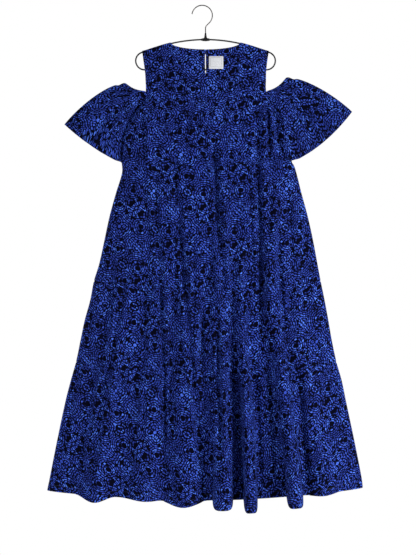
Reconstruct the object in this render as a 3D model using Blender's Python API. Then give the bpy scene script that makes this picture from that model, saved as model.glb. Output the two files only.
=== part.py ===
"""Tiered cold-shoulder dress on a thin wire hanger.

The dress is seen from its back: -Y is the back, with the open slit and the label,
and +Y is the front, with the deeper neckline. X is to the right and Z is up.
The origin is the inside top of the hook, where the hanger rests on a rail.
All sizes are in metres.
"""

import math
from collections import namedtuple

import bmesh
import bpy
from mathutils import Vector

# General sizes
WALL = 0.0012
SEAM_GAP = 0.0003
HALF_GAP = SEAM_GAP / 2
BACK = -1
FRONT = 1

# Hanger sizes
FRAME_WIRE_RADIUS = 0.0019
HOOK_WIRE_RADIUS = 0.0015
HOOK_RADIUS = 0.0299
HOOK_TIP_ANGLE = math.radians(173)
HOOK_END_ANGLE = math.radians(-45)
HOOK_NECK_BEND = 0.0146
STEM_X = 0.0098
CROWN_HEIGHT = -0.0990
ARM_RADIUS = 0.446
ARM_ANGLE = math.radians(18)
END_LOOP_RADIUS = 0.0261
END_LOOP_X = 0.1784
END_LOOP_HEIGHT = -0.1614
COLLAR_LENGTH = 0.026
COLLAR_BORE = 0.0024

# Heights of the seams at the side edges, and how far the middle hangs below them
SHOULDER_OVER_WIRE = 0.0036
TIP_HALF_WIDTH = 0.1855
NECK_HALF_WIDTH = 0.1025
BACK_NECK_DROP = 0.022
FRONT_NECK_DROP = 0.103
BACK_NECK_ROUND = 0.5
FRONT_NECK_ROUND = 0.75
ATTACH_HEIGHT = -0.2526
YOKE_SEAM = -0.2789
UNDERARM = -0.4401
UPPER_SEAM = -0.8063
LOWER_SEAM = -1.0437
HEM = -1.4187
UPPER_SAG = 0.022
LOWER_SAG = 0.020
HEM_SAG = 0.020
SAG_POWER = 1.5
HEM_RISE_AT_RIGHT = 0.008

# Slit at the centre back
SLIT_TOP = -0.1427
SLIT_BOTTOM = -0.2020
SLIT_HALF_WIDTH = 0.0018
SLIT_TAPER = 0.004

# Label on the back yoke
LABEL_LEFT = 0.010
LABEL_WIDTH = 0.042
LABEL_TOP = -0.150
LABEL_HEIGHT = 0.038
LABEL_THICKNESS = 0.001

# Armhole and sleeve
ARMHOLE_HALF_DEPTH = 0.016
ATTACH_SHARE = 0.72
SLEEVE_SEAM_STEP = 0.0004
CUFF_CLEARANCE = 0.0016
SLEEVE_FOLD_DEPTH = 0.005
SLEEVE_FOLDS = 3

# Outline of the body: edges from the centre line, and half depth in the middle
Section = namedtuple("Section", "height left right depth")
BODY = (
    Section(-0.1325, -0.1855, 0.1855, 0.006),
    Section(-0.1647, -0.1811, 0.1805, 0.014),
    Section(-0.1940, -0.1770, 0.1773, 0.019),
    Section(-0.2174, -0.1752, 0.1767, 0.022),
    Section(-0.2526, -0.1743, 0.1773, 0.025),
    Section(-0.2789, -0.1802, 0.1919, 0.027),
    Section(-0.3068, -0.2025, 0.2008, 0.030),
    Section(-0.3375, -0.2212, 0.2066, 0.032),
    Section(-0.3668, -0.2359, 0.2095, 0.034),
    Section(-0.3961, -0.2440, 0.2150, 0.036),
    Section(-0.4225, -0.2470, 0.2240, 0.037),
    Section(-0.4401, -0.2476, 0.2325, 0.038),
    Section(-0.4600, -0.2455, 0.2545, 0.039),
    Section(-0.4870, -0.2447, 0.2660, 0.040),
    Section(-0.5456, -0.2622, 0.2810, 0.042),
    Section(-0.6159, -0.2816, 0.3000, 0.044),
    Section(-0.6862, -0.2968, 0.3156, 0.045),
    Section(-0.7565, -0.3123, 0.3287, 0.046),
    Section(-0.8063, -0.3276, 0.3381, 0.047),
    Section(-0.8620, -0.3384, 0.3495, 0.048),
    Section(-0.9206, -0.3545, 0.3604, 0.049),
    Section(-0.9792, -0.3668, 0.3706, 0.049),
    Section(-1.0437, -0.3803, 0.3844, 0.050),
    Section(-1.0964, -0.3950, 0.3994, 0.050),
    Section(-1.1550, -0.4102, 0.4114, 0.050),
    Section(-1.2722, -0.4351, 0.4357, 0.050),
    Section(-1.3894, -0.4583, 0.4580, 0.050),
    Section(-1.4187, -0.4640, 0.4610, 0.050),
)

# Large folds: where each ridge runs across the body (-1 left edge, 1 right edge),
# its half width there, its depth and extra drop at the hem, and how tube-like it ends
Fold = namedtuple("Fold", "at_yoke at_hem start half_width depth drop tube")
BACK_FOLDS = (
    Fold(-0.82, -0.690, -0.60, 0.100, 0.032, 0.014, 0.0),
    Fold(-0.46, -0.378, -0.42, 0.120, 0.028, 0.003, 0.0),
    Fold(-0.16, -0.136, -0.36, 0.120, 0.042, 0.013, 0.1),
    Fold(0.30, 0.111, -0.40, 0.063, 0.060, 0.018, 0.9),
    Fold(0.56, 0.284, -0.52, 0.043, 0.062, 0.027, 1.0),
    Fold(0.90, 0.561, -0.36, 0.051, 0.060, 0.023, 1.0),
    Fold(0.98, 0.742, -0.62, 0.090, 0.024, 0.003, 0.1),
)
FRONT_FOLDS = (
    Fold(-0.90, -0.690, -0.50, 0.120, 0.034, 0.012, 0.1),
    Fold(-0.62, -0.440, -0.40, 0.085, 0.054, 0.015, 0.8),
    Fold(-0.30, -0.180, -0.38, 0.140, 0.040, 0.009, 0.0),
    Fold(0.06, 0.060, -0.44, 0.080, 0.058, 0.016, 0.9),
    Fold(0.36, 0.330, -0.36, 0.150, 0.038, 0.008, 0.0),
    Fold(0.74, 0.590, -0.50, 0.070, 0.052, 0.015, 0.9),
    Fold(0.95, 0.790, -0.60, 0.110, 0.028, 0.006, 0.0),
)
TUBE_FORMS_BELOW = -1.20
SOFT_WIDENING = 1.35
TUBE_WIDENING = 1.70
FOLD_GROWTH = 1.25
EDGE_FADE_WIDTH = 0.12

# Gathers: small waves that start at a seam and fade below it. Uneven shifts them to the
# sides at the drift rate, and their strength swells at the swell rate
Gather = namedtuple("Gather", "seam waves depth fade uneven phase")
GATHERS = (
    Gather(YOKE_SEAM, 11, 0.0034, 0.045, 0.064, 0.4),
    Gather(UPPER_SEAM, 13, 0.0036, 0.038, 0.052, 1.9),
    Gather(LOWER_SEAM, 15, 0.0040, 0.040, 0.048, 3.1),
)
DRIFT_RATE = 5.3
SWELL_RATE = 7.1
SWELL = 0.35
FRONT_PHASE = 1.3

# Roundness of the sections: powers of the share across, and of the share down the yoke
BODY_ROUNDNESS = 0.5
ARMHOLE_ROUNDNESS = 1.0
ARMHOLE_BLEND = 0.3
YOKE_HANG_POWER = 0.8

# Sleeves: top peak of the free rim, tip and bottom of the hem, from the centre line
Sleeve = namedtuple("Sleeve", "name side peak_x peak_z tip_x tip_z cuff_z top_bulge hem_bow cuff_depth")
SLEEVES = (
    Sleeve("sleeve_left", -1, -0.2329, -0.2291, -0.4131, -0.3478, -0.4606, 0.021, 0.007, 0.034),
    Sleeve("sleeve_right", 1, 0.2359, -0.2124, 0.4292, -0.3106, -0.4577, 0.019, 0.014, 0.034),
)
RIM_DIP = 0.006
RIM_BEND_ACROSS = 0.6
RIM_BEND_UP = 0.35
BULGE_SKEW = 0.75
BULGE_POWER = 0.9
BULGE_OUT = 0.5
BULGE_UP = 0.86
FOLD_TURN = 0.8

# Walls: how far a mitred corner may reach, and the label's gap to the yoke
MITRE_LIMIT = 0.65
LABEL_GAP = 1.5 * SEAM_GAP

# Where the surfaces are sampled
YOKE_ROWS = (0.0, 0.009, 0.028, 0.090, 0.117, 0.290, 0.462, 0.488, 0.660)
BACK_YOKE_COLUMNS = (0.0, 0.065, 0.172, 0.296, 0.410, 0.485, 0.528, 0.547, 0.5526, 0.593,
                     0.674, 0.782, 0.889, 1.0)
FRONT_YOKE_COLUMNS = (0.0, 0.11, 0.22, 0.32, 0.41, 0.47, 0.512, 0.537, 0.549, 0.5518,
                      0.5526, 0.593, 0.674, 0.782, 0.889, 1.0)
ARMHOLE_HEIGHTS = (-0.3068, -0.3375, -0.3668, -0.3961, -0.4225)
UPPER_LOWER_ROWS = (-0.4600, -0.4870, -0.5500, -0.6300, -0.7200)
MIDDLE_ROWS = (-0.8360, -0.8800, -0.9600)
BOTTOM_ROWS = (-1.0740, -1.1150, -1.1850, -1.2650, -1.3450)
EDGE_COLUMNS = (1.0, 0.9985, 0.990, 0.965)
TUBE_COLUMNS = (0.0, 0.5, 0.8, 0.93, 0.985, 1.0, 1.3, 1.65)
SLEEVE_STEPS = (0.0, 0.08, 0.22, 0.40, 0.60, 0.80, 1.0)
RIM_SHARES = (0.79, 0.86, 0.92, 0.965, 0.99)

# Finishes: base colour, roughness, metallic
Finish = namedtuple("Finish", "name colour roughness metallic")
CLOTH_FINISH = Finish("printed_cotton", (0.012, 0.022, 0.125, 1), 0.85, 0.0)
LABEL_FINISH = Finish("woven_label", (0.70, 0.71, 0.73, 1), 0.8, 0.0)
COATED_WIRE_FINISH = Finish("coated_wire", (0.010, 0.010, 0.014, 1), 0.35, 0.0)
BRIGHT_WIRE_FINISH = Finish("bright_wire", (0.55, 0.55, 0.57, 1), 0.3, 1.0)


def clear_scene():
    """Remove everything from the scene."""
    for existing in list(bpy.data.objects):
        bpy.data.objects.remove(existing, do_unlink=True)


def make_material(finish):
    """Principled material for one finish."""
    material = bpy.data.materials.new(finish.name)
    material.use_nodes = True
    shader = material.node_tree.nodes["Principled BSDF"]
    shader.inputs["Base Color"].default_value = finish.colour
    shader.inputs["Roughness"].default_value = finish.roughness
    shader.inputs["Metallic"].default_value = finish.metallic
    return material


def add_object(name, data, finish):
    """Object on the garment's centre line with a material of its own."""
    item = bpy.data.objects.new(name, data)
    item.location = (STEM_X, 0, 0)
    bpy.context.scene.collection.objects.link(item)
    data.materials.append(make_material(finish))
    return item


# Small number helpers

def mix(a, b, share):
    """Value between a and b."""
    return a + (b - a) * share


def smooth(value):
    """Smooth step from 0 to 1."""
    value = min(1.0, max(0.0, value))
    return value * value * (3 - 2 * value)


def read_section(height, column):
    """Smooth value of one column of the body table at a height."""
    rows = BODY
    if height >= rows[0].height:
        return getattr(rows[0], column)
    if height <= rows[-1].height:
        return getattr(rows[-1], column)
    index = 0
    while rows[index + 1].height > height:
        index += 1
    lower, upper = rows[index], rows[index + 1]
    span = upper.height - lower.height
    share = (height - lower.height) / span
    before = rows[max(index - 1, 0)]
    after = rows[min(index + 2, len(rows) - 1)]
    start, end = getattr(lower, column), getattr(upper, column)
    slope_in = (end - getattr(before, column)) / (upper.height - before.height) * span
    slope_out = (getattr(after, column) - start) / (after.height - lower.height) * span
    cubic_start = 2 * share ** 3 - 3 * share ** 2 + 1
    cubic_end = 1 - cubic_start
    pull_in = share ** 3 - 2 * share ** 2 + share
    pull_out = share ** 3 - share ** 2
    return cubic_start * start + cubic_end * end + pull_in * slope_in + pull_out * slope_out


def side_x(height, u):
    """X of a point that lies at share u of the body's half width."""
    left = read_section(height, "left")
    right = read_section(height, "right")
    return (left + right) / 2 + u * (right - left) / 2


# Hanger shape, which also carries the shoulders

def wire_height(x):
    """Height of the frame wire's centre at a distance from the middle."""
    x = abs(x)
    arc_end = ARM_RADIUS * math.sin(ARM_ANGLE)
    if x <= arc_end:
        return CROWN_HEIGHT - ARM_RADIUS + math.sqrt(ARM_RADIUS ** 2 - x * x)
    arc_drop = ARM_RADIUS * (1 - math.cos(ARM_ANGLE))
    return CROWN_HEIGHT - arc_drop - (x - arc_end) * math.tan(ARM_ANGLE)


def shoulder_height(x):
    """Height of the cloth over the hanger's arm, level across the neck."""
    x = max(abs(x), NECK_HALF_WIDTH)
    slope = min(ARM_ANGLE, math.asin(min(1.0, x / ARM_RADIUS)))
    return wire_height(x) + SHOULDER_OVER_WIRE / math.cos(slope)


# Yoke surface

def armhole_depth(height):
    """Half depth of the body at the armhole's edge."""
    if height <= UNDERARM:
        return 0.0
    if height <= ATTACH_HEIGHT:
        share = seam_share(height)
        return ARMHOLE_HALF_DEPTH * math.sqrt(max(0.0, 1 - (2 * share - 1) ** 2))
    top = shoulder_height(TIP_HALF_WIDTH)
    share = (top - height) / (top - ATTACH_HEIGHT)
    low = armhole_depth(ATTACH_HEIGHT)
    return mix(SHOULDER_OVER_WIRE, low, max(0.0, share) ** YOKE_HANG_POWER)


def seam_share(height):
    """Share of the way round the sleeve's loop, from the underarm up, at a height."""
    return ATTACH_SHARE * (height - UNDERARM) / (ATTACH_HEIGHT - UNDERARM)


def neck_top(face, x):
    """Height of the yoke's upper edge: shoulder line, or a round neckline."""
    if abs(x) >= NECK_HALF_WIDTH:
        return shoulder_height(x)
    across = abs(x) / NECK_HALF_WIDTH
    if face == BACK:
        drop = BACK_NECK_DROP * (1 - across * across) ** BACK_NECK_ROUND
    else:
        drop = FRONT_NECK_DROP * (1 - across * across) ** FRONT_NECK_ROUND
    return shoulder_height(x) - drop


def yoke_depth(u, x, z):
    """Half depth of the yoke, rounded over the wire and hanging away below it."""
    below = max(0.0, shoulder_height(x) - z)
    radius = SHOULDER_OVER_WIRE
    if below < radius:
        return math.sqrt(radius ** 2 - (radius - below) ** 2)
    edge = armhole_depth(YOKE_SEAM)
    at_seam = edge + (read_section(YOKE_SEAM, "depth") - edge) * (1 - u * u)
    share = (below - radius) / (shoulder_height(x) - YOKE_SEAM - radius)
    return mix(radius, at_seam, min(1.0, share) ** YOKE_HANG_POWER)


def slit_half_width(z):
    """Half of the space between the two back yokes at a height."""
    if z > SLIT_TOP or z < SLIT_BOTTOM:
        return HALF_GAP
    opening = min((SLIT_TOP - z) / SLIT_TAPER, (z - SLIT_BOTTOM) / SLIT_TAPER, 1.0)
    return mix(HALF_GAP, SLIT_HALF_WIDTH, opening)


def yoke_point(face, u, row):
    """Outer point of the yoke, from its top edge (row 0) to its seam (row 1)."""
    tip = shoulder_height(TIP_HALF_WIDTH)
    nominal = mix(tip, YOKE_SEAM, row)
    top_x = u * TIP_HALF_WIDTH
    top = neck_top(face, top_x)
    z = mix(top, YOKE_SEAM + HALF_GAP, row)
    x = side_x(nominal, u)
    if abs(u) == 1.0:
        depth = armhole_depth(nominal) if row > YOKE_ROWS[2] else yoke_depth(u, top_x, z)
    else:
        depth = yoke_depth(u, top_x, z)
    return Vector((x, face * (HALF_GAP + depth), z))


# Body surface below the yoke

def sag_at(height):
    """How far the middle hangs below the edges at a height."""
    if height > UPPER_SEAM:
        share = (YOKE_SEAM - height) / (YOKE_SEAM - UPPER_SEAM)
        return UPPER_SAG * smooth(share)
    if height > LOWER_SEAM:
        share = (UPPER_SEAM - height) / (UPPER_SEAM - LOWER_SEAM)
        return mix(UPPER_SAG, LOWER_SAG, share)
    share = (LOWER_SEAM - height) / (LOWER_SEAM - HEM)
    return mix(LOWER_SAG, HEM_SAG, share)


def fold_centre(fold, height):
    """Where a fold's ridge runs, from the yoke down to the straight part of the skirt."""
    share = smooth((YOKE_SEAM - height) / (YOKE_SEAM - UPPER_SEAM))
    return mix(fold.at_yoke, fold.at_hem, share)


def fold_ridge(fold, u, height):
    """Outline of one fold across the body: 1 on its ridge, 0 beside it."""
    tube = fold.tube * smooth((TUBE_FORMS_BELOW - height) / (TUBE_FORMS_BELOW - HEM))
    distance = abs(u - fold_centre(fold, height)) / fold.half_width
    widening = mix(TUBE_WIDENING, 1.0, tube) if fold.tube > 0.5 else SOFT_WIDENING
    soft_distance = min(1.0, distance / widening)
    soft = 0.5 * (1 + math.cos(math.pi * soft_distance))
    steep = math.sqrt(max(0.0, 1 - min(1.0, distance) ** 4))
    return mix(soft, steep, tube)


def fold_growth(fold, height):
    """How much of its full depth a fold has at a height."""
    share = (fold.start - height) / (fold.start - HEM)
    return max(0.0, share) ** FOLD_GROWTH


def edge_fade(u):
    """Fades folds and gathers out beside the side seams."""
    return smooth((1 - abs(u)) / EDGE_FADE_WIDTH)


def fold_depth(face, u, height):
    """Depth that the large folds add at a place."""
    folds = BACK_FOLDS if face == BACK else FRONT_FOLDS
    total = 0.0
    for fold in folds:
        total += fold.depth * fold_growth(fold, height) * fold_ridge(fold, u, height)
    return total * edge_fade(u)


def gather_depth(face, u, height):
    """Depth of the small gathers under the seams."""
    total = 0.0
    for gather in GATHERS:
        below = (gather.seam - height) / gather.fade
        if below <= 0:
            continue
        phase = gather.phase + (FRONT_PHASE if face == FRONT else 0.0)
        across = u + gather.uneven * math.sin(DRIFT_RATE * u + phase)
        wave = math.sin(math.pi * gather.waves * across + phase)
        strength = 1 + SWELL * math.sin(SWELL_RATE * u + 2 * phase)
        total += gather.depth * below * math.exp(1 - below) * wave * strength
    return total * edge_fade(u)


def hem_drop(face, u, height):
    """Extra length of the forward folds near the hem, which rises a little to the right."""
    folds = BACK_FOLDS if face == BACK else FRONT_FOLDS
    near_hem = max(0.0, (LOWER_SEAM - height) / (LOWER_SEAM - HEM)) ** 2
    drop = sum(fold.drop * fold_ridge(fold, u, height) for fold in folds)
    return near_hem * (drop - HEM_RISE_AT_RIGHT * max(0.0, u) ** 2)


def body_point(face, u, height, lift=0.0):
    """Outer point of the body below the yoke at the nominal height of its side edges."""
    edge = armhole_depth(height)
    openness = smooth(seam_share(height) / ARMHOLE_BLEND) if height > UNDERARM else 0.0
    roundness = mix(BODY_ROUNDNESS, ARMHOLE_ROUNDNESS, openness)
    middle = read_section(height, "depth")
    across = max(0.0, 1 - u * u) ** roundness
    depth = edge + (middle - edge) * across
    depth += fold_depth(face, u, height) + gather_depth(face, u, height)
    drop = sag_at(height) * (1 - abs(u) ** SAG_POWER) + hem_drop(face, u, height)
    return Vector((side_x(height, u), face * (HALF_GAP + depth), height - drop + lift))


# Sleeve surface

def armhole_edge(side, height):
    """Point on the armhole's edge, straight between the rows where both pieces meet."""
    rows = (ATTACH_HEIGHT, YOKE_SEAM) + ARMHOLE_HEIGHTS + (UNDERARM,)
    index = 0
    while index < len(rows) - 2 and rows[index + 1] > height:
        index += 1
    share = (height - rows[index]) / (rows[index + 1] - rows[index])
    x = mix(side_x(rows[index], side), side_x(rows[index + 1], side), share)
    depth = mix(armhole_depth(rows[index]), armhole_depth(rows[index + 1]), share)
    return x + side * SLEEVE_SEAM_STEP, depth, height


def sleeve_inner(sleeve, share):
    """Inner loop of a sleeve: armhole seam, then the free rim up to its peak."""
    if share <= ATTACH_SHARE:
        height = mix(UNDERARM, ATTACH_HEIGHT, share / ATTACH_SHARE)
        return armhole_edge(sleeve.side, height)
    start_x, _, start_z = armhole_edge(sleeve.side, ATTACH_HEIGHT)
    along = (share - ATTACH_SHARE) / (1 - ATTACH_SHARE)
    bend_x = mix(start_x, sleeve.peak_x, RIM_BEND_ACROSS)
    bend_z = mix(start_z, sleeve.peak_z, RIM_BEND_UP) - RIM_DIP
    ways = ((1 - along) ** 2, 2 * along * (1 - along), along ** 2)
    x = ways[0] * start_x + ways[1] * bend_x + ways[2] * sleeve.peak_x
    z = ways[0] * start_z + ways[1] * bend_z + ways[2] * sleeve.peak_z
    depth = ARMHOLE_HALF_DEPTH * math.sqrt(max(0.0, 1 - (2 * share - 1) ** 2))
    return x, depth, z


def sleeve_point(sleeve, share, step, face):
    """Outer point of a sleeve: share goes round from underarm to top, step out to the hem."""
    inner_x, inner_depth, inner_z = sleeve_inner(sleeve, share)
    cuff_x = side_x(sleeve.cuff_z, sleeve.side) + sleeve.side * CUFF_CLEARANCE
    length = math.hypot(sleeve.tip_x - cuff_x, sleeve.tip_z - sleeve.cuff_z)
    out_x = sleeve.side * (sleeve.tip_z - sleeve.cuff_z) / length
    out_z = -abs(sleeve.tip_x - cuff_x) / length
    bow = sleeve.hem_bow * 4 * share * (1 - share)
    hem_x = mix(cuff_x, sleeve.tip_x, share) + out_x * bow
    hem_z = mix(sleeve.cuff_z, sleeve.tip_z, share) + out_z * bow
    skewed = step ** BULGE_SKEW
    bulge = sleeve.top_bulge * (4 * skewed * (1 - skewed)) ** BULGE_POWER * share ** 2
    x = mix(inner_x, hem_x, step) + sleeve.side * BULGE_OUT * bulge
    z = mix(inner_z, hem_z, step) + BULGE_UP * bulge
    ring = math.sqrt(max(0.0, 1 - (2 * share - 1) ** 2))
    depth = mix(inner_depth, sleeve.cuff_depth * ring, step)
    window = math.sin(math.pi * share) ** 2
    wave = math.sin(2 * math.pi * SLEEVE_FOLDS * share + FOLD_TURN * face)
    depth += SLEEVE_FOLD_DEPTH * smooth(step) * window * wave
    return Vector((x, face * depth, z))


# Walls from rows of outer points

def offset_level(points, face, open_ends):
    """Inner points of one level row, a wall's thickness inside, with mitred corners."""
    inner = []
    last = len(points) - 1
    for index, point in enumerate(points):
        before = points[max(index - 1, 0)]
        after = points[min(index + 1, last)]
        first = Vector((point.x - before.x, point.y - before.y))
        second = Vector((after.x - point.x, after.y - point.y))
        if index == 0 or index == last:
            if open_ends:
                push = Vector((0.0, -face))
            else:
                push = Vector((1.0 if index == 0 else -1.0, 0.0))
            reach = WALL
        else:
            first.normalize()
            second.normalize()
            along = (first + second).normalized()
            push = Vector((face * along.y, -face * along.x))
            reach = WALL / max(MITRE_LIMIT, along.dot(first))
        inner.append(Vector((point.x + push.x * reach, point.y + push.y * reach, point.z)))
    return inner


def surface_push(grid, row, column, closed):
    """Unit vector across the surface at a grid point, from its neighbours."""
    rows = len(grid)
    columns = len(grid[0])
    above = grid[max(row - 1, 0)][column]
    below = grid[min(row + 1, rows - 1)][column]
    if closed:
        before = grid[row][(column - 1) % columns]
        after = grid[row][(column + 1) % columns]
    else:
        before = grid[row][max(column - 1, 0)]
        after = grid[row][min(column + 1, columns - 1)]
    return (after - before).cross(below - above).normalized()


def make_shell(name, outer, inner, finish, closed=False):
    """Closed wall between an outer and an inner grid of points."""
    mesh = bmesh.new()
    rows = len(outer)
    columns = len(outer[0])
    outside = [[mesh.verts.new(point) for point in row] for row in outer]
    inside = [[mesh.verts.new(point) for point in row] for row in inner]
    spans = columns if closed else columns - 1
    for row in range(rows - 1):
        for column in range(spans):
            near = (column + 1) % columns
            for grid in (outside, inside):
                mesh.faces.new((grid[row][column], grid[row + 1][column],
                                grid[row + 1][near], grid[row][near]))
    for row in (0, rows - 1):
        for column in range(spans):
            near = (column + 1) % columns
            mesh.faces.new((outside[row][column], outside[row][near],
                            inside[row][near], inside[row][column]))
    if not closed:
        for column in (0, columns - 1):
            for row in range(rows - 1):
                mesh.faces.new((outside[row][column], outside[row + 1][column],
                                inside[row + 1][column], inside[row][column]))
    bmesh.ops.recalc_face_normals(mesh, faces=mesh.faces)
    data = bpy.data.meshes.new(name)
    mesh.to_mesh(data)
    mesh.free()
    data.shade_smooth()
    data.set_sharp_from_angle(angle=math.radians(40))
    return add_object(name, data, finish)


# Pieces of the dress

def build_yoke_piece(name, face, columns, slit_side):
    """One yoke piece: back halves end at the slit, the front runs from side to side."""
    attach_row = ((shoulder_height(TIP_HALF_WIDTH) - ATTACH_HEIGHT)
                  / (shoulder_height(TIP_HALF_WIDTH) - YOKE_SEAM))
    rows = YOKE_ROWS + (attach_row, 1.0)
    outer = []
    for row in rows:
        points = [yoke_point(face, u, row) for u in columns]
        if slit_side:
            for index, u in enumerate(columns):
                if u == 0.0:
                    middle = points[index]
                    middle.x += slit_side * slit_half_width(middle.z)
        outer.append(points)
    inner = []
    for row, points in enumerate(outer):
        line = []
        for column, point in enumerate(points):
            push = surface_push(outer, row, column, closed=False)
            if push.y * face > 0:
                push = -push
            on_shoulder = abs(columns[column]) * TIP_HALF_WIDTH >= NECK_HALF_WIDTH - 1e-4
            if row == 0 and on_shoulder:
                push = Vector((0, 0, -1))
            elif row == len(outer) - 1:
                push = Vector((push.x, push.y, 0)).normalized()
            if column in (0, len(points) - 1) and not (row == 0 and on_shoulder):
                push = Vector((0, push.y, push.z)).normalized()
            line.append(point + push * WALL)
        inner.append(line)
    return make_shell(name, outer, inner, CLOTH_FINISH)


def tier_columns(face, count, with_tubes):
    """Shares across a tier: even ones, close ones at the edges, and the tubes' sides."""
    inner_edge = EDGE_COLUMNS[-1]
    columns = [mix(-inner_edge, inner_edge, step / (count - 1)) for step in range(count)]
    if with_tubes:
        folds = BACK_FOLDS if face == BACK else FRONT_FOLDS
        for fold in folds:
            if fold.tube < 0.5:
                continue
            clear = fold.half_width * 2.0
            columns = [u for u in columns if abs(u - fold.at_hem) > clear]
            for share in TUBE_COLUMNS:
                columns.append(fold.at_hem + share * fold.half_width)
                if share > 0:
                    columns.append(fold.at_hem - share * fold.half_width)
    for u in EDGE_COLUMNS[:-1]:
        columns += [-u, u]
    return sorted(columns)


def build_tier(name, face, top, rows, bottom, count, with_tubes=False):
    """One tier of the body between two seams, or down to the hem."""
    columns = tier_columns(face, count, with_tubes)
    heights = (top,) + rows + (bottom,)
    outer = []
    inner = []
    for height in heights:
        lift = 0.0
        if height == top:
            lift = -HALF_GAP
        elif height == bottom and bottom > HEM:
            lift = HALF_GAP
        points = [body_point(face, u, height, lift) for u in columns]
        outer.append(points)
        inner.append(offset_level(points, face, open_ends=height > UNDERARM))
    return make_shell(name, outer, inner, CLOTH_FINISH)


def build_sleeve(sleeve):
    """Bell sleeve: one tube from the armhole and the free rim out to the hem."""
    seam_heights = (UNDERARM,) + ARMHOLE_HEIGHTS[::-1] + (YOKE_SEAM, ATTACH_HEIGHT)
    shares = [seam_share(height) for height in seam_heights]
    shares.insert(1, shares[1] * 0.25)
    shares += list(RIM_SHARES) + [1.0]
    around = [(share, BACK) for share in shares]
    around += [(share, FRONT) for share in reversed(shares[1:-1])]
    outer = []
    for step in SLEEVE_STEPS:
        outer.append([sleeve_point(sleeve, share, step, face) for share, face in around])
    inner = []
    for row, points in enumerate(outer):
        line = []
        for column, point in enumerate(points):
            push = surface_push(outer, row, column, closed=True) * sleeve.side
            if row == 0:
                push = Vector((0, push.y, push.z)).normalized()
            line.append(point + push * WALL)
        inner.append(line)
    return make_shell(sleeve.name, outer, inner, CLOTH_FINISH, closed=True)


def build_label():
    """Small woven label, made from the yoke's own points and moved out."""
    columns = 5
    rows = 5
    outer = []
    inner = []
    for row in range(rows):
        z = LABEL_TOP - LABEL_HEIGHT * row / (rows - 1)
        outer_line = []
        inner_line = []
        for column in range(columns):
            x = LABEL_LEFT + LABEL_WIDTH * column / (columns - 1)
            depth = HALF_GAP + yoke_depth(x / TIP_HALF_WIDTH, x, z) + LABEL_GAP
            inner_line.append(Vector((x, -depth, z)))
            outer_line.append(Vector((x, -depth - LABEL_THICKNESS, z)))
        outer.append(outer_line)
        inner.append(inner_line)
    return make_shell("neck_label", outer, inner, LABEL_FINISH)


# Hanger

def arc_points(centre_x, centre_z, radius, start, end, count):
    """Points of an arc in the XZ plane."""
    points = []
    for index in range(count):
        angle = mix(start, end, index / (count - 1))
        points.append((centre_x + radius * math.cos(angle), centre_z + radius * math.sin(angle)))
    return points


def add_wire(name, path, radius, finish, cyclic, resolution):
    """Round wire along a path of (x, z) points."""
    curve = bpy.data.curves.new(name, "CURVE")
    curve.dimensions = "3D"
    curve.bevel_depth = radius
    curve.bevel_resolution = resolution
    curve.use_fill_caps = not cyclic
    spline = curve.splines.new("POLY")
    spline.points.add(len(path) - 1)
    for point, (x, z) in zip(spline.points, path):
        point.co = (x, 0, z, 1)
    spline.use_cyclic_u = cyclic
    return add_object(name, curve, finish)


def build_frame():
    """Closed wire loop: two arms, two round ends and a straight lower bar."""
    arm_count = 8
    half = []
    for index in range(arm_count):
        x = ARM_RADIUS * math.sin(ARM_ANGLE) * index / (arm_count - 1)
        half.append((x, wire_height(x)))
    half += arc_points(END_LOOP_X, END_LOOP_HEIGHT, END_LOOP_RADIUS,
                       math.pi / 2 - ARM_ANGLE, -math.pi / 2, 12)
    half.append((END_LOOP_X / 2, END_LOOP_HEIGHT - END_LOOP_RADIUS))
    other = [(-x, z) for x, z in reversed(half[1:])]
    middle = [(0.0, END_LOOP_HEIGHT - END_LOOP_RADIUS)]
    return add_wire("hanger_frame", half + middle + other, FRAME_WIRE_RADIUS,
                    COATED_WIRE_FINISH, True, 2)


def build_hook():
    """Bright wire hook with its stem, which stands on the collar."""
    crown_x = -STEM_X
    centre_z = HOOK_WIRE_RADIUS - HOOK_RADIUS
    path = arc_points(crown_x, centre_z, HOOK_RADIUS, HOOK_TIP_ANGLE, HOOK_END_ANGLE, 22)
    end_x, end_z = path[-1]
    turn = math.pi / 2 + HOOK_END_ANGLE
    bend_width = HOOK_NECK_BEND * (1 - math.cos(turn))
    run = (end_x - bend_width) / math.sin(turn)
    bend_x = HOOK_NECK_BEND
    bend_z = end_z - run * math.cos(turn) - HOOK_NECK_BEND * math.sin(turn)
    path += arc_points(bend_x, bend_z, HOOK_NECK_BEND, math.pi - turn, math.pi, 6)
    path.append((0.0, CROWN_HEIGHT + COLLAR_PROFILE[2].outer + SEAM_GAP))
    return add_wire("hanger_hook", path, HOOK_WIRE_RADIUS, BRIGHT_WIRE_FINISH, False, 2)


CollarRing = namedtuple("CollarRing", "along outer")
COLLAR_PROFILE = (
    CollarRing(-0.5, 0.0030),
    CollarRing(-0.25, 0.0038),
    CollarRing(0.0, 0.0046),
    CollarRing(0.25, 0.0038),
    CollarRing(0.5, 0.0030),
)


def build_collar():
    """Dark collar round the frame wire, thickest under the hook's stem."""
    segments = 16
    outer = []
    inner = []
    for ring in COLLAR_PROFILE:
        x = ring.along * COLLAR_LENGTH
        outer_line = []
        inner_line = []
        for index in range(segments):
            angle = 2 * math.pi * (index + 0.5) / segments
            across = Vector((0, math.cos(angle), math.sin(angle)))
            centre = Vector((x, 0, CROWN_HEIGHT))
            outer_line.append(centre + across * ring.outer)
            inner_line.append(centre + across * COLLAR_BORE)
        outer.append(outer_line)
        inner.append(inner_line)
    return make_shell("hanger_collar", outer, inner, COATED_WIRE_FINISH, closed=True)


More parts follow.
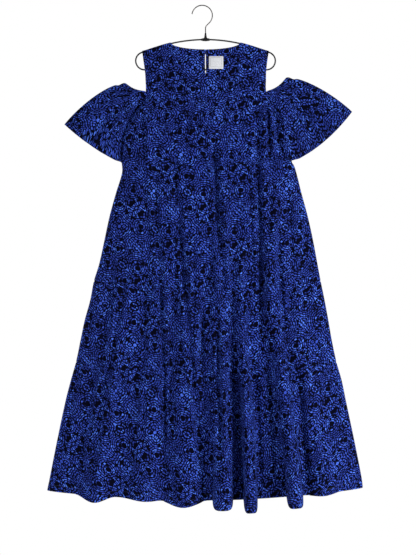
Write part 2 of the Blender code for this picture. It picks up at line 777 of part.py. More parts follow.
def main():
    """Build every piece of the dress and its hanger."""
    clear_scene()
    left = [-u for u in reversed(BACK_YOKE_COLUMNS)]
    right = list(BACK_YOKE_COLUMNS)
    whole = [-u for u in reversed(FRONT_YOKE_COLUMNS[1:])] + list(FRONT_YOKE_COLUMNS)
    build_yoke_piece("back_yoke_left", BACK, left, -1)
    build_yoke_piece("back_yoke_right", BACK, right, 1)
    build_yoke_piece("front_yoke", FRONT, whole, 0)
    upper_rows = ARMHOLE_HEIGHTS + (UNDERARM,) + UPPER_LOWER_ROWS
    for face, ending in ((BACK, "back"), (FRONT, "front")):
        build_tier("upper_tier_" + ending, face, YOKE_SEAM, upper_rows, UPPER_SEAM, 42)
        build_tier("middle_tier_" + ending, face, UPPER_SEAM, MIDDLE_ROWS, LOWER_SEAM, 50)
        build_tier("bottom_tier_" + ending, face, LOWER_SEAM, BOTTOM_ROWS, HEM, 46, True)
    for sleeve in SLEEVES:
        build_sleeve(sleeve)
    build_label()
    build_frame()
    build_collar()
    build_hook()


main()
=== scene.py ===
"""Looks of a tiered cold-shoulder dress on a thin wire hanger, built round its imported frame.

The dress is seen from its back: -Y is the back, with the slit and the label, and +Y the
front, with the deeper neckline. X is to the right and Z is up, in metres, and the origin
is the inside top of the hanger's hook.
"""

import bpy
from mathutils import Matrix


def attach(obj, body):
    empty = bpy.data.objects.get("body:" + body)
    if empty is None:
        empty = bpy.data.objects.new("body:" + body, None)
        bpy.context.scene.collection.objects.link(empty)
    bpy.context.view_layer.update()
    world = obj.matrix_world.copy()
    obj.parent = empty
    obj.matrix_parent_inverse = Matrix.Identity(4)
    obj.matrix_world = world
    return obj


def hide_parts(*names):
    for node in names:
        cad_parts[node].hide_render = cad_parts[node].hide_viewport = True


bl_info = {
    "name": "Tiered Dress on a Wire Hanger",
    "version": (1, 0, 0),
    "blender": (4, 5, 0),
    "location": "View3D > Sidebar > Tiered Dress",
    "description": "Cloth, stitching, label, hanger and studio for a tiered printed dress",
    "category": "Add Mesh",
}

import math
from collections import namedtuple

import bmesh
import bpy
import numpy as np
from bpy.props import FloatProperty, FloatVectorProperty, PointerProperty
from mathutils import Vector

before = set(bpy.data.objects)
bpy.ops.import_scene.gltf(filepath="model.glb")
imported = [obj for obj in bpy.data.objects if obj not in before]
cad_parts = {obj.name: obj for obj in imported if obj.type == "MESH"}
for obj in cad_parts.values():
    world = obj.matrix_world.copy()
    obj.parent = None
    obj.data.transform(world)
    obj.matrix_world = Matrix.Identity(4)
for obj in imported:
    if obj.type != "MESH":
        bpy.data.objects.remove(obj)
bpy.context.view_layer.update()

BODY_NAME = "root"
BACK = -1
FRONT = 1

# Hanger sizes, as in the frame
FRAME_WIRE_RADIUS = 0.0022
HOOK_WIRE_RADIUS = 0.0015
HOOK_RADIUS = 0.0299
HOOK_TIP_ANGLE = math.radians(173)
HOOK_END_ANGLE = math.radians(-45)
HOOK_NECK_BEND = 0.0146
STEM_X = 0.0098
CROWN_HEIGHT = -0.0990
ARM_RADIUS = 0.446
ARM_ANGLE = math.radians(18)
END_LOOP_RADIUS = 0.0261
END_LOOP_X = 0.1784
END_LOOP_HEIGHT = -0.1614
COLLAR_LENGTH = 0.026
FRAME_SIDES = 20
HOOK_SIDES = 18
COLLAR_SIDES = 32
COLLAR_RINGS = 41
WIRE_END_RINGS = 6
WIRE_END_SLIMMEST = 0.04
STEM_HEIGHTS = (0.012, 0.003)
ARM_POINTS = 24
END_LOOP_POINTS = 34
BAR_SHARES = (0.75, 0.5, 0.25)
HOOK_POINTS = 60
HOOK_BEND_POINTS = 16

# Heights of the seams at the side edges, and how far the middle hangs below them
SHOULDER_OVER_WIRE = 0.0036
TIP_HALF_WIDTH = 0.1855
NECK_HALF_WIDTH = 0.1025
BACK_NECK_DROP = 0.022
FRONT_NECK_DROP = 0.103
BACK_NECK_ROUND = 0.5
FRONT_NECK_ROUND = 0.75
ATTACH_HEIGHT = -0.2526
YOKE_SEAM = -0.2789
UNDERARM = -0.4401
UPPER_SEAM = -0.8063
LOWER_SEAM = -1.0437
HEM = -1.4187
UPPER_SAG = 0.022
LOWER_SAG = 0.020
HEM_SAG = 0.020
SAG_POWER = 1.5
HEM_RISE_AT_RIGHT = 0.008

# Slit, label, armhole and sleeve
SLIT_TOP = -0.1427
SLIT_BOTTOM = -0.2020
SLIT_HALF_WIDTH = 0.0012
SLIT_TAPER = 0.004
SLIT_REACH = 0.10
LABEL_LEFT = 0.010
LABEL_WIDTH = 0.042
LABEL_TOP = -0.150
LABEL_HEIGHT = 0.038
ARMHOLE_HALF_DEPTH = 0.016
ATTACH_SHARE = 0.72
CUFF_CLEARANCE = 0.0003
SLEEVE_FOLD_DEPTH = 0.005
SLEEVE_FOLDS = 3
UNDERARM_BLEND = 0.12

# Outline of the body: edges from the centre line, and half depth in the middle
Section = namedtuple("Section", "height left right depth")
BODY = (
    Section(-0.1325, -0.1855, 0.1855, 0.006),
    Section(-0.1647, -0.1811, 0.1805, 0.014),
    Section(-0.1940, -0.1770, 0.1773, 0.019),
    Section(-0.2174, -0.1752, 0.1767, 0.022),
    Section(-0.2526, -0.1743, 0.1773, 0.025),
    Section(-0.2789, -0.1802, 0.1919, 0.027),
    Section(-0.3068, -0.2025, 0.2008, 0.030),
    Section(-0.3375, -0.2212, 0.2066, 0.032),
    Section(-0.3668, -0.2359, 0.2095, 0.034),
    Section(-0.3961, -0.2440, 0.2150, 0.036),
    Section(-0.4225, -0.2470, 0.2240, 0.037),
    Section(-0.4401, -0.2476, 0.2325, 0.038),
    Section(-0.4600, -0.2455, 0.2545, 0.039),
    Section(-0.4870, -0.2447, 0.2660, 0.040),
    Section(-0.5456, -0.2622, 0.2810, 0.042),
    Section(-0.6159, -0.2816, 0.3000, 0.044),
    Section(-0.6862, -0.2968, 0.3156, 0.045),
    Section(-0.7565, -0.3123, 0.3287, 0.046),
    Section(-0.8063, -0.3276, 0.3381, 0.047),
    Section(-0.8620, -0.3384, 0.3495, 0.048),
    Section(-0.9206, -0.3545, 0.3604, 0.049),
    Section(-0.9792, -0.3668, 0.3706, 0.049),
    Section(-1.0437, -0.3803, 0.3844, 0.050),
    Section(-1.0964, -0.3950, 0.3994, 0.050),
    Section(-1.1550, -0.4102, 0.4114, 0.050),
    Section(-1.2722, -0.4351, 0.4357, 0.050),
    Section(-1.3894, -0.4583, 0.4580, 0.050),
    Section(-1.4187, -0.4640, 0.4610, 0.050),
)

# Large folds: where each ridge runs across the body (-1 left edge, 1 right edge),
# its half width there, its depth and extra drop at the hem, and how tube-like it ends
Fold = namedtuple("Fold", "at_yoke at_hem start half_width depth drop tube")
BACK_FOLDS = (
    Fold(-0.82, -0.690, -0.60, 0.100, 0.032, 0.014, 0.0),
    Fold(-0.46, -0.378, -0.42, 0.120, 0.028, 0.003, 0.0),
    Fold(-0.16, -0.136, -0.36, 0.120, 0.042, 0.013, 0.1),
    Fold(0.30, 0.111, -0.40, 0.063, 0.060, 0.018, 0.9),
    Fold(0.56, 0.284, -0.52, 0.043, 0.062, 0.027, 1.0),
    Fold(0.90, 0.561, -0.36, 0.051, 0.060, 0.023, 1.0),
    Fold(0.98, 0.742, -0.62, 0.090, 0.024, 0.003, 0.1),
)
FRONT_FOLDS = (
    Fold(-0.90, -0.690, -0.50, 0.120, 0.034, 0.012, 0.1),
    Fold(-0.62, -0.440, -0.40, 0.085, 0.054, 0.015, 0.8),
    Fold(-0.30, -0.180, -0.38, 0.140, 0.040, 0.009, 0.0),
    Fold(0.06, 0.060, -0.44, 0.080, 0.058, 0.016, 0.9),
    Fold(0.36, 0.330, -0.36, 0.150, 0.038, 0.008, 0.0),
    Fold(0.74, 0.590, -0.50, 0.070, 0.052, 0.015, 0.9),
    Fold(0.95, 0.790, -0.60, 0.110, 0.028, 0.006, 0.0),
)
TUBE_FORMS_BELOW = -1.20
LEAST_TUBE = 0.5
SOFT_WIDENING = 1.35
TUBE_WIDENING = 1.70
FOLD_GROWTH = 1.25
EDGE_FADE_WIDTH = 0.12

# Gathers of the frame: small waves that start at a seam and fade below it
Gather = namedtuple("Gather", "seam waves depth fade uneven phase")
GATHERS = (
    Gather(YOKE_SEAM, 11, 0.0034, 0.045, 0.064, 0.4),
    Gather(UPPER_SEAM, 13, 0.0036, 0.038, 0.052, 1.9),
    Gather(LOWER_SEAM, 15, 0.0040, 0.040, 0.048, 3.1),
)
DRIFT_RATE = 5.3
SWELL_RATE = 7.1
SWELL = 0.35
FRONT_PHASE = 1.3
BODY_ROUNDNESS = 0.5
ARMHOLE_ROUNDNESS = 1.0
ARMHOLE_BLEND = 0.3
YOKE_HANG_POWER = 0.8
YOKE_EDGE_SHARE = 0.07
YOKE_EDGE_ROWS = 0.028
YOKE_FINE_ROWS = 0.08

# Fine gathers of the cloth itself: how many start at a seam, and their usual depth, width
# and length, which each gather varies within the ranges below
Pinches = namedtuple("Pinches", "seam count depth width length seed")
PINCHES = (
    Pinches(YOKE_SEAM, 58, 0.0017, 0.0042, 0.040, 11),
    Pinches(UPPER_SEAM, 66, 0.0015, 0.0048, 0.034, 23),
    Pinches(LOWER_SEAM, 74, 0.0017, 0.0052, 0.040, 37),
)
PINCH_STRAY = 0.38
PINCH_DEPTHS = (0.35, 1.25)
PINCH_WIDTHS = (0.75, 1.35)
PINCH_LENGTHS = (0.5, 1.6)
PINCH_LEANS = (-0.06, 0.06)
PINCH_FAN = 0.28
PINCH_FADE = 1.5

# Creases listed one by one, from a top point to a low point, measured from the centre line:
# a positive depth presses a trough in, and a negative one raises a ridge
Crease = namedtuple("Crease", "top_x top_z low_x low_z width depth")
BACK_CREASES = (
    Crease(-0.176, -0.150, -0.172, -0.262, 0.0075, 0.0028),
    Crease(-0.074, -0.150, -0.078, -0.272, 0.0065, 0.0032),
    Crease(0.084, -0.160, 0.080, -0.272, 0.0060, 0.0026),
    Crease(-0.180, -0.285, -0.179, -0.480, 0.0065, 0.0062),
    Crease(-0.120, -0.290, -0.118, -0.400, 0.0055, 0.0028),
    Crease(-0.052, -0.300, -0.048, -0.430, 0.0065, 0.0028),
    Crease(0.017, -0.300, 0.060, -0.900, 0.0090, 0.0125),
    Crease(0.100, -0.290, 0.104, -0.400, 0.0060, 0.0030),
    Crease(0.146, -0.285, 0.169, -0.985, 0.0085, 0.0115),
    Crease(-0.093, -0.400, -0.006, -1.400, 0.0075, 0.0090),
    Crease(-0.183, -0.470, -0.166, -0.700, 0.0080, 0.0042),
    Crease(0.233, -0.490, 0.262, -0.840, 0.0080, 0.0042),
    Crease(-0.130, -0.620, -0.112, -1.400, 0.0065, 0.0085),
    Crease(-0.217, -0.700, -0.334, -1.400, 0.0085, 0.0068),
    Crease(-0.086, -0.720, -0.086, -0.830, 0.0060, 0.0032),
    Crease(-0.056, -0.700, -0.051, -0.860, 0.0065, 0.0045),
    Crease(0.034, -0.840, 0.047, -1.340, 0.0065, 0.0120),
    Crease(-0.008, -0.840, -0.014, -1.060, 0.0065, 0.0065),
    Crease(0.097, -1.040, 0.101, -1.400, 0.0065, 0.0062),
    Crease(0.180, -0.960, 0.212, -1.400, 0.0080, 0.0060),
    Crease(-0.182, -1.020, -0.220, -1.400, 0.0075, 0.0052),
    Crease(-0.365, -1.050, -0.435, -1.380, 0.0080, 0.0055),
    Crease(0.270, -1.060, 0.294, -1.390, 0.0075, 0.0050),
    Crease(0.345, -1.060, 0.372, -1.240, 0.0090, 0.0034),
    Crease(0.240, -0.815, 0.250, -0.905, 0.0060, 0.0032),
    Crease(0.122, -1.080, 0.134, -1.380, 0.0060, 0.0040),
    Crease(0.014, -0.780, 0.012, -1.080, 0.0120, -0.0075),
    Crease(0.012, -1.040, 0.014, -1.250, 0.0140, -0.0085),
    Crease(0.014, -1.200, 0.017, -1.415, 0.0120, -0.0095),
    Crease(0.076, -1.040, 0.078, -1.415, 0.0075, -0.0060),
    Crease(0.178, -0.860, 0.184, -1.020, 0.0110, -0.0050),
    Crease(0.176, -0.258, 0.190, -0.470, 0.0060, 0.0090),
    Crease(-0.206, -0.300, -0.226, -0.450, 0.0065, 0.0050),
    Crease(-0.166, -0.600, -0.182, -1.320, 0.0060, 0.0042),
    Crease(-0.100, -0.800, -0.100, -1.380, 0.0065, 0.0040),
    Crease(-0.030, -0.620, -0.036, -1.000, 0.0055, 0.0038),
    Crease(0.126, -0.440, 0.142, -0.820, 0.0060, 0.0036),
    Crease(0.070, -0.330, 0.086, -0.600, 0.0055, 0.0034),
    Crease(0.204, -0.580, 0.232, -0.980, 0.0060, 0.0042),
    Crease(-0.252, -0.600, -0.300, -1.080, 0.0065, 0.0040),
    Crease(-0.296, -0.960, -0.372, -1.390, 0.0065, 0.0044),
    Crease(0.318, -0.900, 0.352, -1.180, 0.0060, 0.0036),
    Crease(-0.146, -0.440, -0.132, -0.860, 0.0065, 0.0062),
    Crease(-0.086, -0.430, -0.090, -0.640, 0.0065, 0.0056),
    Crease(0.148, -1.100, 0.160, -1.400, 0.0060, 0.0040),
    Crease(0.330, -1.180, 0.348, -1.400, 0.0065, 0.0040),
)
FRONT_CREASES = (
    Crease(-0.120, -0.180, -0.112, -0.268, 0.0065, 0.0022),
    Crease(0.132, -0.170, 0.126, -0.262, 0.0075, 0.0026),
    Crease(-0.150, -0.300, -0.160, -0.480, 0.0065, 0.0045),
    Crease(-0.070, -0.310, -0.090, -0.640, 0.0080, 0.0070),
    Crease(0.030, -0.300, 0.022, -0.520, 0.0060, 0.0050),
    Crease(0.125, -0.310, 0.160, -0.700, 0.0080, 0.0080),
    Crease(-0.190, -0.815, -0.200, -0.920, 0.0060, 0.0040),
    Crease(-0.140, -0.780, -0.160, -1.420, 0.0090, 0.0110),
    Crease(-0.020, -0.980, -0.016, -1.425, 0.0080, 0.0090),
    Crease(0.070, -0.900, 0.076, -1.420, 0.0080, 0.0085),
    Crease(0.190, -0.800, 0.225, -1.400, 0.0090, 0.0110),
    Crease(0.290, -1.060, 0.318, -1.380, 0.0075, 0.0060),
    Crease(-0.280, -1.060, -0.320, -1.370, 0.0080, 0.0060),
    Crease(0.120, -0.815, 0.124, -0.890, 0.0060, 0.0035),
    Crease(-0.236, -0.560, -0.276, -1.020, 0.0065, 0.0042),
    Crease(-0.108, -0.520, -0.116, -0.900, 0.0060, 0.0040),
    Crease(-0.060, -0.700, -0.070, -1.380, 0.0065, 0.0044),
    Crease(0.052, -0.480, 0.048, -0.860, 0.0055, 0.0038),
    Crease(0.130, -0.900, 0.142, -1.400, 0.0065, 0.0044),
    Crease(0.236, -0.620, 0.272, -1.160, 0.0060, 0.0040),
    Crease(-0.220, -1.000, -0.246, -1.390, 0.0065, 0.0042),
    Crease(-0.340, -1.040, -0.380, -1.360, 0.0065, 0.0040),
    Crease(0.352, -1.020, 0.388, -1.370, 0.0065, 0.0042),
)
# A crease fades in over the first share of its length and out over the last, and it has a
# low bank at each side, whose height is a share of its depth and whose place and width are
# in crease widths
CREASE_FADE_IN = 0.28
CREASE_FADE_OUT = 0.22
CREASE_OVERRUN = 0.2
BANK_SHARE = 0.45
BANK_PLACE = 1.9
BANK_WIDTH = 0.9

# Small uneven ripples all over the cloth
Ripple = namedtuple("Ripple", "across down depth turn")
RIPPLES = (
    Ripple(31.0, 9.0, 0.00055, 0.7),
    Ripple(-47.0, 13.0, 0.00035, 2.1),
    Ripple(19.0, -23.0, 0.00045, 4.4),
    Ripple(71.0, 17.0, 0.00020, 5.2),
)
RIPPLE_WANDER = 0.6
RIPPLE_WANDER_RATE = 0.37
RIPPLE_SWELL_RATE = 0.31
YOKE_RIPPLE_SHARE = 0.8
LEAST_DEPTH_SHARE = 0.3

# Sleeves: top peak of the free rim, tip and bottom of the hem, from the centre line
Sleeve = namedtuple(
    "Sleeve", "name side peak_x peak_z tip_x tip_z cuff_z top_bulge hem_bow cuff_depth")
SLEEVES = (
    Sleeve("sleeve_left", -1, -0.2329, -0.2291, -0.4131, -0.3478, -0.4606, 0.021, 0.007, 0.034),
    Sleeve("sleeve_right", 1, 0.2359, -0.2124, 0.4292, -0.3106, -0.4577, 0.019, 0.014, 0.034),
)
RIM_DIP = 0.006
RIM_BEND_ACROSS = 0.6
RIM_BEND_UP = 0.35
BULGE_SKEW = 0.75
BULGE_POWER = 0.9
BULGE_OUT = 0.5
BULGE_UP = 0.86
FOLD_TURN = 0.8

# Soft folds that fan out over a sleeve: share of the way round, half width, depth at the
# hem, and the step from the armhole (0) to the hem (1) at which each one starts
SleeveCrease = namedtuple("SleeveCrease", "share width depth start")
SLEEVE_CREASES = (
    SleeveCrease(0.15, 0.045, 0.0060, -0.15),
    SleeveCrease(0.33, 0.052, 0.0090, -0.25),
    SleeveCrease(0.49, 0.040, 0.0050, 0.05),
    SleeveCrease(0.64, 0.055, 0.0095, -0.20),
    SleeveCrease(0.82, 0.042, 0.0050, 0.10),
)
SLEEVE_CREASE_RUN = 0.8
SLEEVE_CREASE_OFFSET = 0.05
SLEEVE_PULL_WIDTH = 0.12

# Free end of a sleeve's top rim, which stands up a little beside the sleeve
RIM_STAND = 0.0015
RIM_STAND_WIDTH = 0.035
RIM_NOTCH = 0.0035
RIM_NOTCH_STEP = 0.085
RIM_END_SHARE = 0.14

# How sewn and turned edges look
SEAM_TUCK = 0.0016
SEAM_TUCK_WIDTH = 0.0042
SEAM_OVERLAP = 0.0030
ARMHOLE_PINCH = 0.74
ARMHOLE_PINCH_WIDTH = 0.019
ARMHOLE_PINCH_FADE = 0.02
BODY_PINCH_SHARPNESS = 2.0
PUCKER_DEPTH = 0.00028
PUCKER_PITCH = 0.0090
PUCKER_REACH = 0.0070
PUCKER_STRAY = 1.7
PUCKER_STRAY_RATE = 31
PUCKER_SHIFT = 0.004
HEM_THICKNESS = 0.00045
HEM_STEP = 0.0016
STITCH_GROOVE = 0.00030
STITCH_GROOVE_WIDTH = 0.0011
STITCH_HALF_WIDTH = 0.00026
STITCH_HEIGHT = 0.00030
STITCH_END_SINK = 0.4
STITCH_SHOULDER = 0.2
STITCH_UNDERSIDE = 0.6
STITCH_POINTS = 8
NECK_STITCH_STOP = 0.004
FREE_RIM_FADE = 0.03
FREE_RIM_SHARE = ATTACH_SHARE + FREE_RIM_FADE
SLEEVE_SIDE_FADE = 0.12
EDGE_TURN = 0.0060
SLIT_ROLL_WIDTH = 0.007
SLIT_ROLL = {-1: 0.0008, 1: 0.0024}
SIDE_SEAM_SHARE = 0.4
SIDE_SEAM_FADE = 0.03
SHOULDER_SEAM_FADE = 0.003
TOP_EDGE_FADE = 0.0006
ARMHOLE_SEAM_FADE = 0.004
YOKE_SEAM_SHARE = 0.7
ARMHOLE_SEAM_SHARE = 0.5
CLOTH_SHARP_ANGLE = math.radians(50)
WIRE_SHARP_ANGLE = math.radians(40)

# How the label lies on the yoke: its stand, its belly, the curl of its edges and its sewing
LABEL_STAND = 0.0012
LABEL_BELLY = 0.0009
LABEL_CURL = 0.0007
LABEL_WALL = 0.0005
LABEL_COLUMNS = 44
LABEL_ROWS = 40
LABEL_LINE_INSET = 0.0050
LABEL_STITCH_INSET = 0.0018
LABEL_STITCH_PITCH = 0.0022
LABEL_STITCH_LENGTH = 0.0017

# Collar of the hanger: its slimmest radius, how much thicker its middle is and how round,
# and the rings of its neck as radius and height above the crown
COLLAR_END_RADIUS = 0.0026
COLLAR_SWELL = 0.0022
COLLAR_TAPER = 1.6
COLLAR_FULLNESS = 0.8
NECK_RINGS = (
    (0.0052, 0.0010),
    (0.0046, 0.0045),
    (0.0036, 0.0085),
    (0.0028, 0.0135),
    (0.0023, 0.0180),
    (0.0021, 0.0190),
    (0.0018, 0.0194),
)

# Flat size that each piece was cut to, its area, and how the cloth is held
Cut = namedtuple("Cut", "width length area held")

# Grid of points with their normals and their lengths across and down the cloth
Surface = namedtuple("Surface", "points normals across down")

# Rows and columns of the cloth's grids, and how far each gathers its lines at its ends
TIER_COLUMNS = 300
TIER_ROW_GATHER = 0.7
TUBE_COLUMNS = 16
TUBE_INNER_SHARE = 0.05
TUBE_OUTER_FROM = 4
LEAST_COLUMN_GAP = 0.0004
YOKE_ROWS = 64
YOKE_ROW_GATHER = 0.75
YOKE_NECK_COLUMNS = 52
YOKE_SHOULDER_COLUMNS = 38
YOKE_SHOULDER_GATHER = 0.6
SLEEVE_TURNS = 84
SLEEVE_STEPS = 60
SLEEVE_STEP_GATHER = 0.7

# Where each piece lies on the print: the first of a group, and the step to the next
YOKE_PRINT_STEP = np.array([0.137, 0.061])
TIER_PRINT_START = np.array([0.02, 0.0])
TIER_PRINT_STEP = np.array([0.083, 0.119])
SLEEVE_PRINT_START = np.array([0.21, 0.33])
SLEEVE_PRINT_STEP = np.array([0.09, 0.0])


# Number helpers

def mix(a, b, share):
    """Value between a and b."""
    return a + (b - a) * share


def smooth(value):
    """Smooth step from 0 to 1."""
    value = np.clip(value, 0.0, 1.0)
    return value * value * (3 - 2 * value)


def unit(vectors):
    """Vectors of length 1 in the same directions."""
    return vectors / np.maximum(np.linalg.norm(vectors, axis=-1, keepdims=True), 1e-12)


def even_spread(count, gather_at_ends):
    """Shares from 0 to 1, closer together at both ends."""
    line = np.linspace(0.0, 1.0, count)
    curved = (1 - np.cos(np.pi * line)) / 2
    return mix(line, curved, gather_at_ends)


def read_section(height, column):
    """Smooth value of one column of the body table at each height."""
    heights = np.array([row.height for row in BODY])
    values = np.array([getattr(row, column) for row in BODY])
    after = np.minimum(np.arange(len(BODY)) + 1, len(BODY) - 1)
    before = np.maximum(np.arange(len(BODY)) - 1, 0)
    slopes = (values[after] - values[before]) / (heights[after] - heights[before])
    height = np.clip(height, heights[-1], heights[0])
    index = np.clip(np.searchsorted(-heights, -height, side="right") - 1, 0, len(BODY) - 2)
    span = heights[index + 1] - heights[index]
    share = (height - heights[index]) / span
    cubic_start = 2 * share ** 3 - 3 * share ** 2 + 1
    pull_in = (share ** 3 - 2 * share ** 2 + share) * span * slopes[index]
    pull_out = (share ** 3 - share ** 2) * span * slopes[index + 1]
    return (cubic_start * values[index] + (1 - cubic_start) * values[index + 1]
            + pull_in + pull_out)


def side_x(height, u):
    """X of a point that lies at share u of the body's half width."""
    left = read_section(height, "left")
    right = read_section(height, "right")
    return (left + right) / 2 + u * (right - left) / 2


# Surfaces of the dress, as in the frame

def wire_height(x):
    """Height of the frame wire's centre at a distance from the middle."""
    x = np.abs(x)
    arc_end = ARM_RADIUS * math.sin(ARM_ANGLE)
    arc = CROWN_HEIGHT - ARM_RADIUS + np.sqrt(ARM_RADIUS ** 2 - np.minimum(x, arc_end) ** 2)
    return arc - np.maximum(0.0, x - arc_end) * math.tan(ARM_ANGLE)


def shoulder_height(x):
    """Height of the cloth over the hanger's arm, level across the neck."""
    x = np.maximum(np.abs(x), NECK_HALF_WIDTH)
    slope = np.minimum(ARM_ANGLE, np.arcsin(np.minimum(1.0, x / ARM_RADIUS)))
    return wire_height(x) + SHOULDER_OVER_WIRE / np.cos(slope)


def loop_depth(share):
    """Half depth of a round loop, from 0 at its ends to 1 in its middle."""
    return np.sqrt(np.clip(1 - (2 * share - 1) ** 2, 0, None))


def seam_share(height):
    """Share of the way round the sleeve's loop, from the underarm up, at a height."""
    return ATTACH_SHARE * (height - UNDERARM) / (ATTACH_HEIGHT - UNDERARM)


def armhole_depth(height):
    """Half depth of the body at the armhole's edge."""
    share = seam_share(np.minimum(height, ATTACH_HEIGHT))
    ring = ARMHOLE_HALF_DEPTH * loop_depth(share)
    top = shoulder_height(TIP_HALF_WIDTH)
    upper = np.clip((top - height) / (top - ATTACH_HEIGHT), 0, 1) ** YOKE_HANG_POWER
    ring = np.where(height > ATTACH_HEIGHT, mix(SHOULDER_OVER_WIRE, ring, upper), ring)
    return np.where(height <= UNDERARM, 0.0, ring)


def neck_top(face, x):
    """Height of the yoke's upper edge: shoulder line, or a round neckline."""
    across = np.minimum(1.0, np.abs(x) / NECK_HALF_WIDTH)
    drop, roundness = BACK_NECK_DROP, BACK_NECK_ROUND
    if face == FRONT:
        drop, roundness = FRONT_NECK_DROP, FRONT_NECK_ROUND
    return shoulder_height(x) - drop * np.clip(1 - across * across, 0, None) ** roundness


def yoke_depth(u, x, z):
    """Half depth of the yoke, rounded over the wire and hanging away below it."""
    radius = SHOULDER_OVER_WIRE
    below = np.maximum(0.0, shoulder_height(x) - z)
    over_wire = np.sqrt(np.clip(radius ** 2 - (radius - np.minimum(below, radius)) ** 2, 0, None))
    edge = armhole_depth(YOKE_SEAM)
    at_seam = edge + (read_section(YOKE_SEAM, "depth") - edge) * (1 - u * u)
    share = np.clip((below - radius) / (shoulder_height(x) - YOKE_SEAM - radius), 0, 1)
    return np.where(below < radius, over_wire, mix(radius, at_seam, share ** YOKE_HANG_POWER))


def slit_half_width(z):
    """Half of the space between the two back yokes at a height."""
    opening = np.minimum((SLIT_TOP - z) / SLIT_TAPER, (z - SLIT_BOTTOM) / SLIT_TAPER)
    return SLIT_HALF_WIDTH * np.clip(opening, 0, 1)


def sag_at(height):
    """How far the middle hangs below the edges at a height."""
    upper = UPPER_SAG * smooth((YOKE_SEAM - height) / (YOKE_SEAM - UPPER_SEAM))
    middle = mix(UPPER_SAG, LOWER_SAG, (UPPER_SEAM - height) / (UPPER_SEAM - LOWER_SEAM))
    lower = mix(LOWER_SAG, HEM_SAG, (LOWER_SEAM - height) / (LOWER_SEAM - HEM))
    return np.where(height > UPPER_SEAM, upper, np.where(height > LOWER_SEAM, middle, lower))


def folds_of(face):
    """The table of large folds on one face."""
    return BACK_FOLDS if face == BACK else FRONT_FOLDS


def tube_share(fold, height):
    """How far a fold has turned into a tube at a height."""
    return fold.tube * smooth((TUBE_FORMS_BELOW - height) / (TUBE_FORMS_BELOW - HEM))


def fold_ridge(fold, u, height):
    """Outline of one fold across the body: 1 on its ridge, 0 beside it."""
    run = smooth((YOKE_SEAM - height) / (YOKE_SEAM - UPPER_SEAM))
    centre = mix(fold.at_yoke, fold.at_hem, run)
    tube = tube_share(fold, height)
    distance = np.abs(u - centre) / fold.half_width
    widening = mix(TUBE_WIDENING, 1.0, tube) if fold.tube > LEAST_TUBE else SOFT_WIDENING
    soft = 0.5 * (1 + np.cos(np.pi * np.minimum(1.0, distance / widening)))
    steep = np.sqrt(np.clip(1 - np.minimum(1.0, distance) ** 4, 0, None))
    return mix(soft, steep, tube)


def edge_fade(u):
    """Fades folds and gathers out beside the side seams."""
    return smooth((1 - np.abs(u)) / EDGE_FADE_WIDTH)


def fold_depth(face, u, height):
    """Depth that the large folds add at each place."""
    total = 0.0
    for fold in folds_of(face):
        growth = np.maximum(0.0, (fold.start - height) / (fold.start - HEM)) ** FOLD_GROWTH
        total = total + fold.depth * growth * fold_ridge(fold, u, height)
    return total * edge_fade(u)


def gather_depth(face, u, height):
    """Depth of the gathers under the seams."""
    total = 0.0
    for gather in GATHERS:
        below = np.maximum(0.0, (gather.seam - height) / gather.fade)
        phase = gather.phase + (FRONT_PHASE if face == FRONT else 0.0)
        across = u + gather.uneven * np.sin(DRIFT_RATE * u + phase)
        wave = np.sin(np.pi * gather.waves * across + phase)
        strength = 1 + SWELL * np.sin(SWELL_RATE * u + 2 * phase)
        total = total + gather.depth * below * np.exp(1 - below) * wave * strength
    return total * edge_fade(u)


def tube_end(fold, u, height):
    """Outline of a fold's lowest edge: a tube ends nearly square, a soft fold in a wave."""
    distance = np.abs(u - fold.at_hem) / fold.half_width
    square = np.sqrt(np.clip(1 - np.minimum(1.0, distance) ** 8, 0, None))
    tube = tube_share(fold, height)
    return mix(fold_ridge(fold, u, height), square, tube)


def hem_drop(face, u, height):
    """Extra length of the forward folds near the hem, which rises a little to the right."""
    near_hem = np.maximum(0.0, (LOWER_SEAM - height) / (LOWER_SEAM - HEM)) ** 2
    drop = sum(fold.drop * tube_end(fold, u, height) for fold in folds_of(face))
    return near_hem * (drop - HEM_RISE_AT_RIGHT * np.maximum(0.0, u) ** 2)


def armhole_pinch(height, distance):
    """Share of the depth that is left near the armhole seam, which pulls the cloth in."""
    below_top = smooth((ATTACH_HEIGHT - height) / ARMHOLE_PINCH_FADE)
    above_end = smooth((height - UNDERARM) / ARMHOLE_PINCH_FADE)
    window = below_top * above_end
    return 1 - ARMHOLE_PINCH * window * np.exp(-((distance / ARMHOLE_PINCH_WIDTH) ** 2))


# Finer form that only the cloth has

def pinch_depth(face, x, height):
    """Many small gathers just below each seam, each with its own depth, width and length."""
    total = 0.0
    for row in PINCHES:
        dice = np.random.default_rng(row.seed + (1 if face == FRONT else 0))
        edges = side_x(row.seam, np.array([-1.0, 1.0]))
        places = np.linspace(edges[0], edges[1], row.count + 2)[1:-1]
        step = places[1] - places[0]
        places = places + dice.uniform(-PINCH_STRAY, PINCH_STRAY, row.count) * step
        below = row.seam - height
        spread = np.clip(below, 0, None) / row.length
        for place in places:
            depth = row.depth * dice.uniform(*PINCH_DEPTHS)
            width = row.width * dice.uniform(*PINCH_WIDTHS)
            length = dice.uniform(*PINCH_LENGTHS)
            lean = dice.uniform(*PINCH_LEANS) + PINCH_FAN * place / edges[1]
            across = (x - place - lean * np.clip(below, 0, None)) / (width * (1 + spread))
            along = np.exp(-((spread / length) ** PINCH_FADE)) * (below > -SEAM_OVERLAP)
            total = total + depth * along * np.exp(-across * across)
    return total


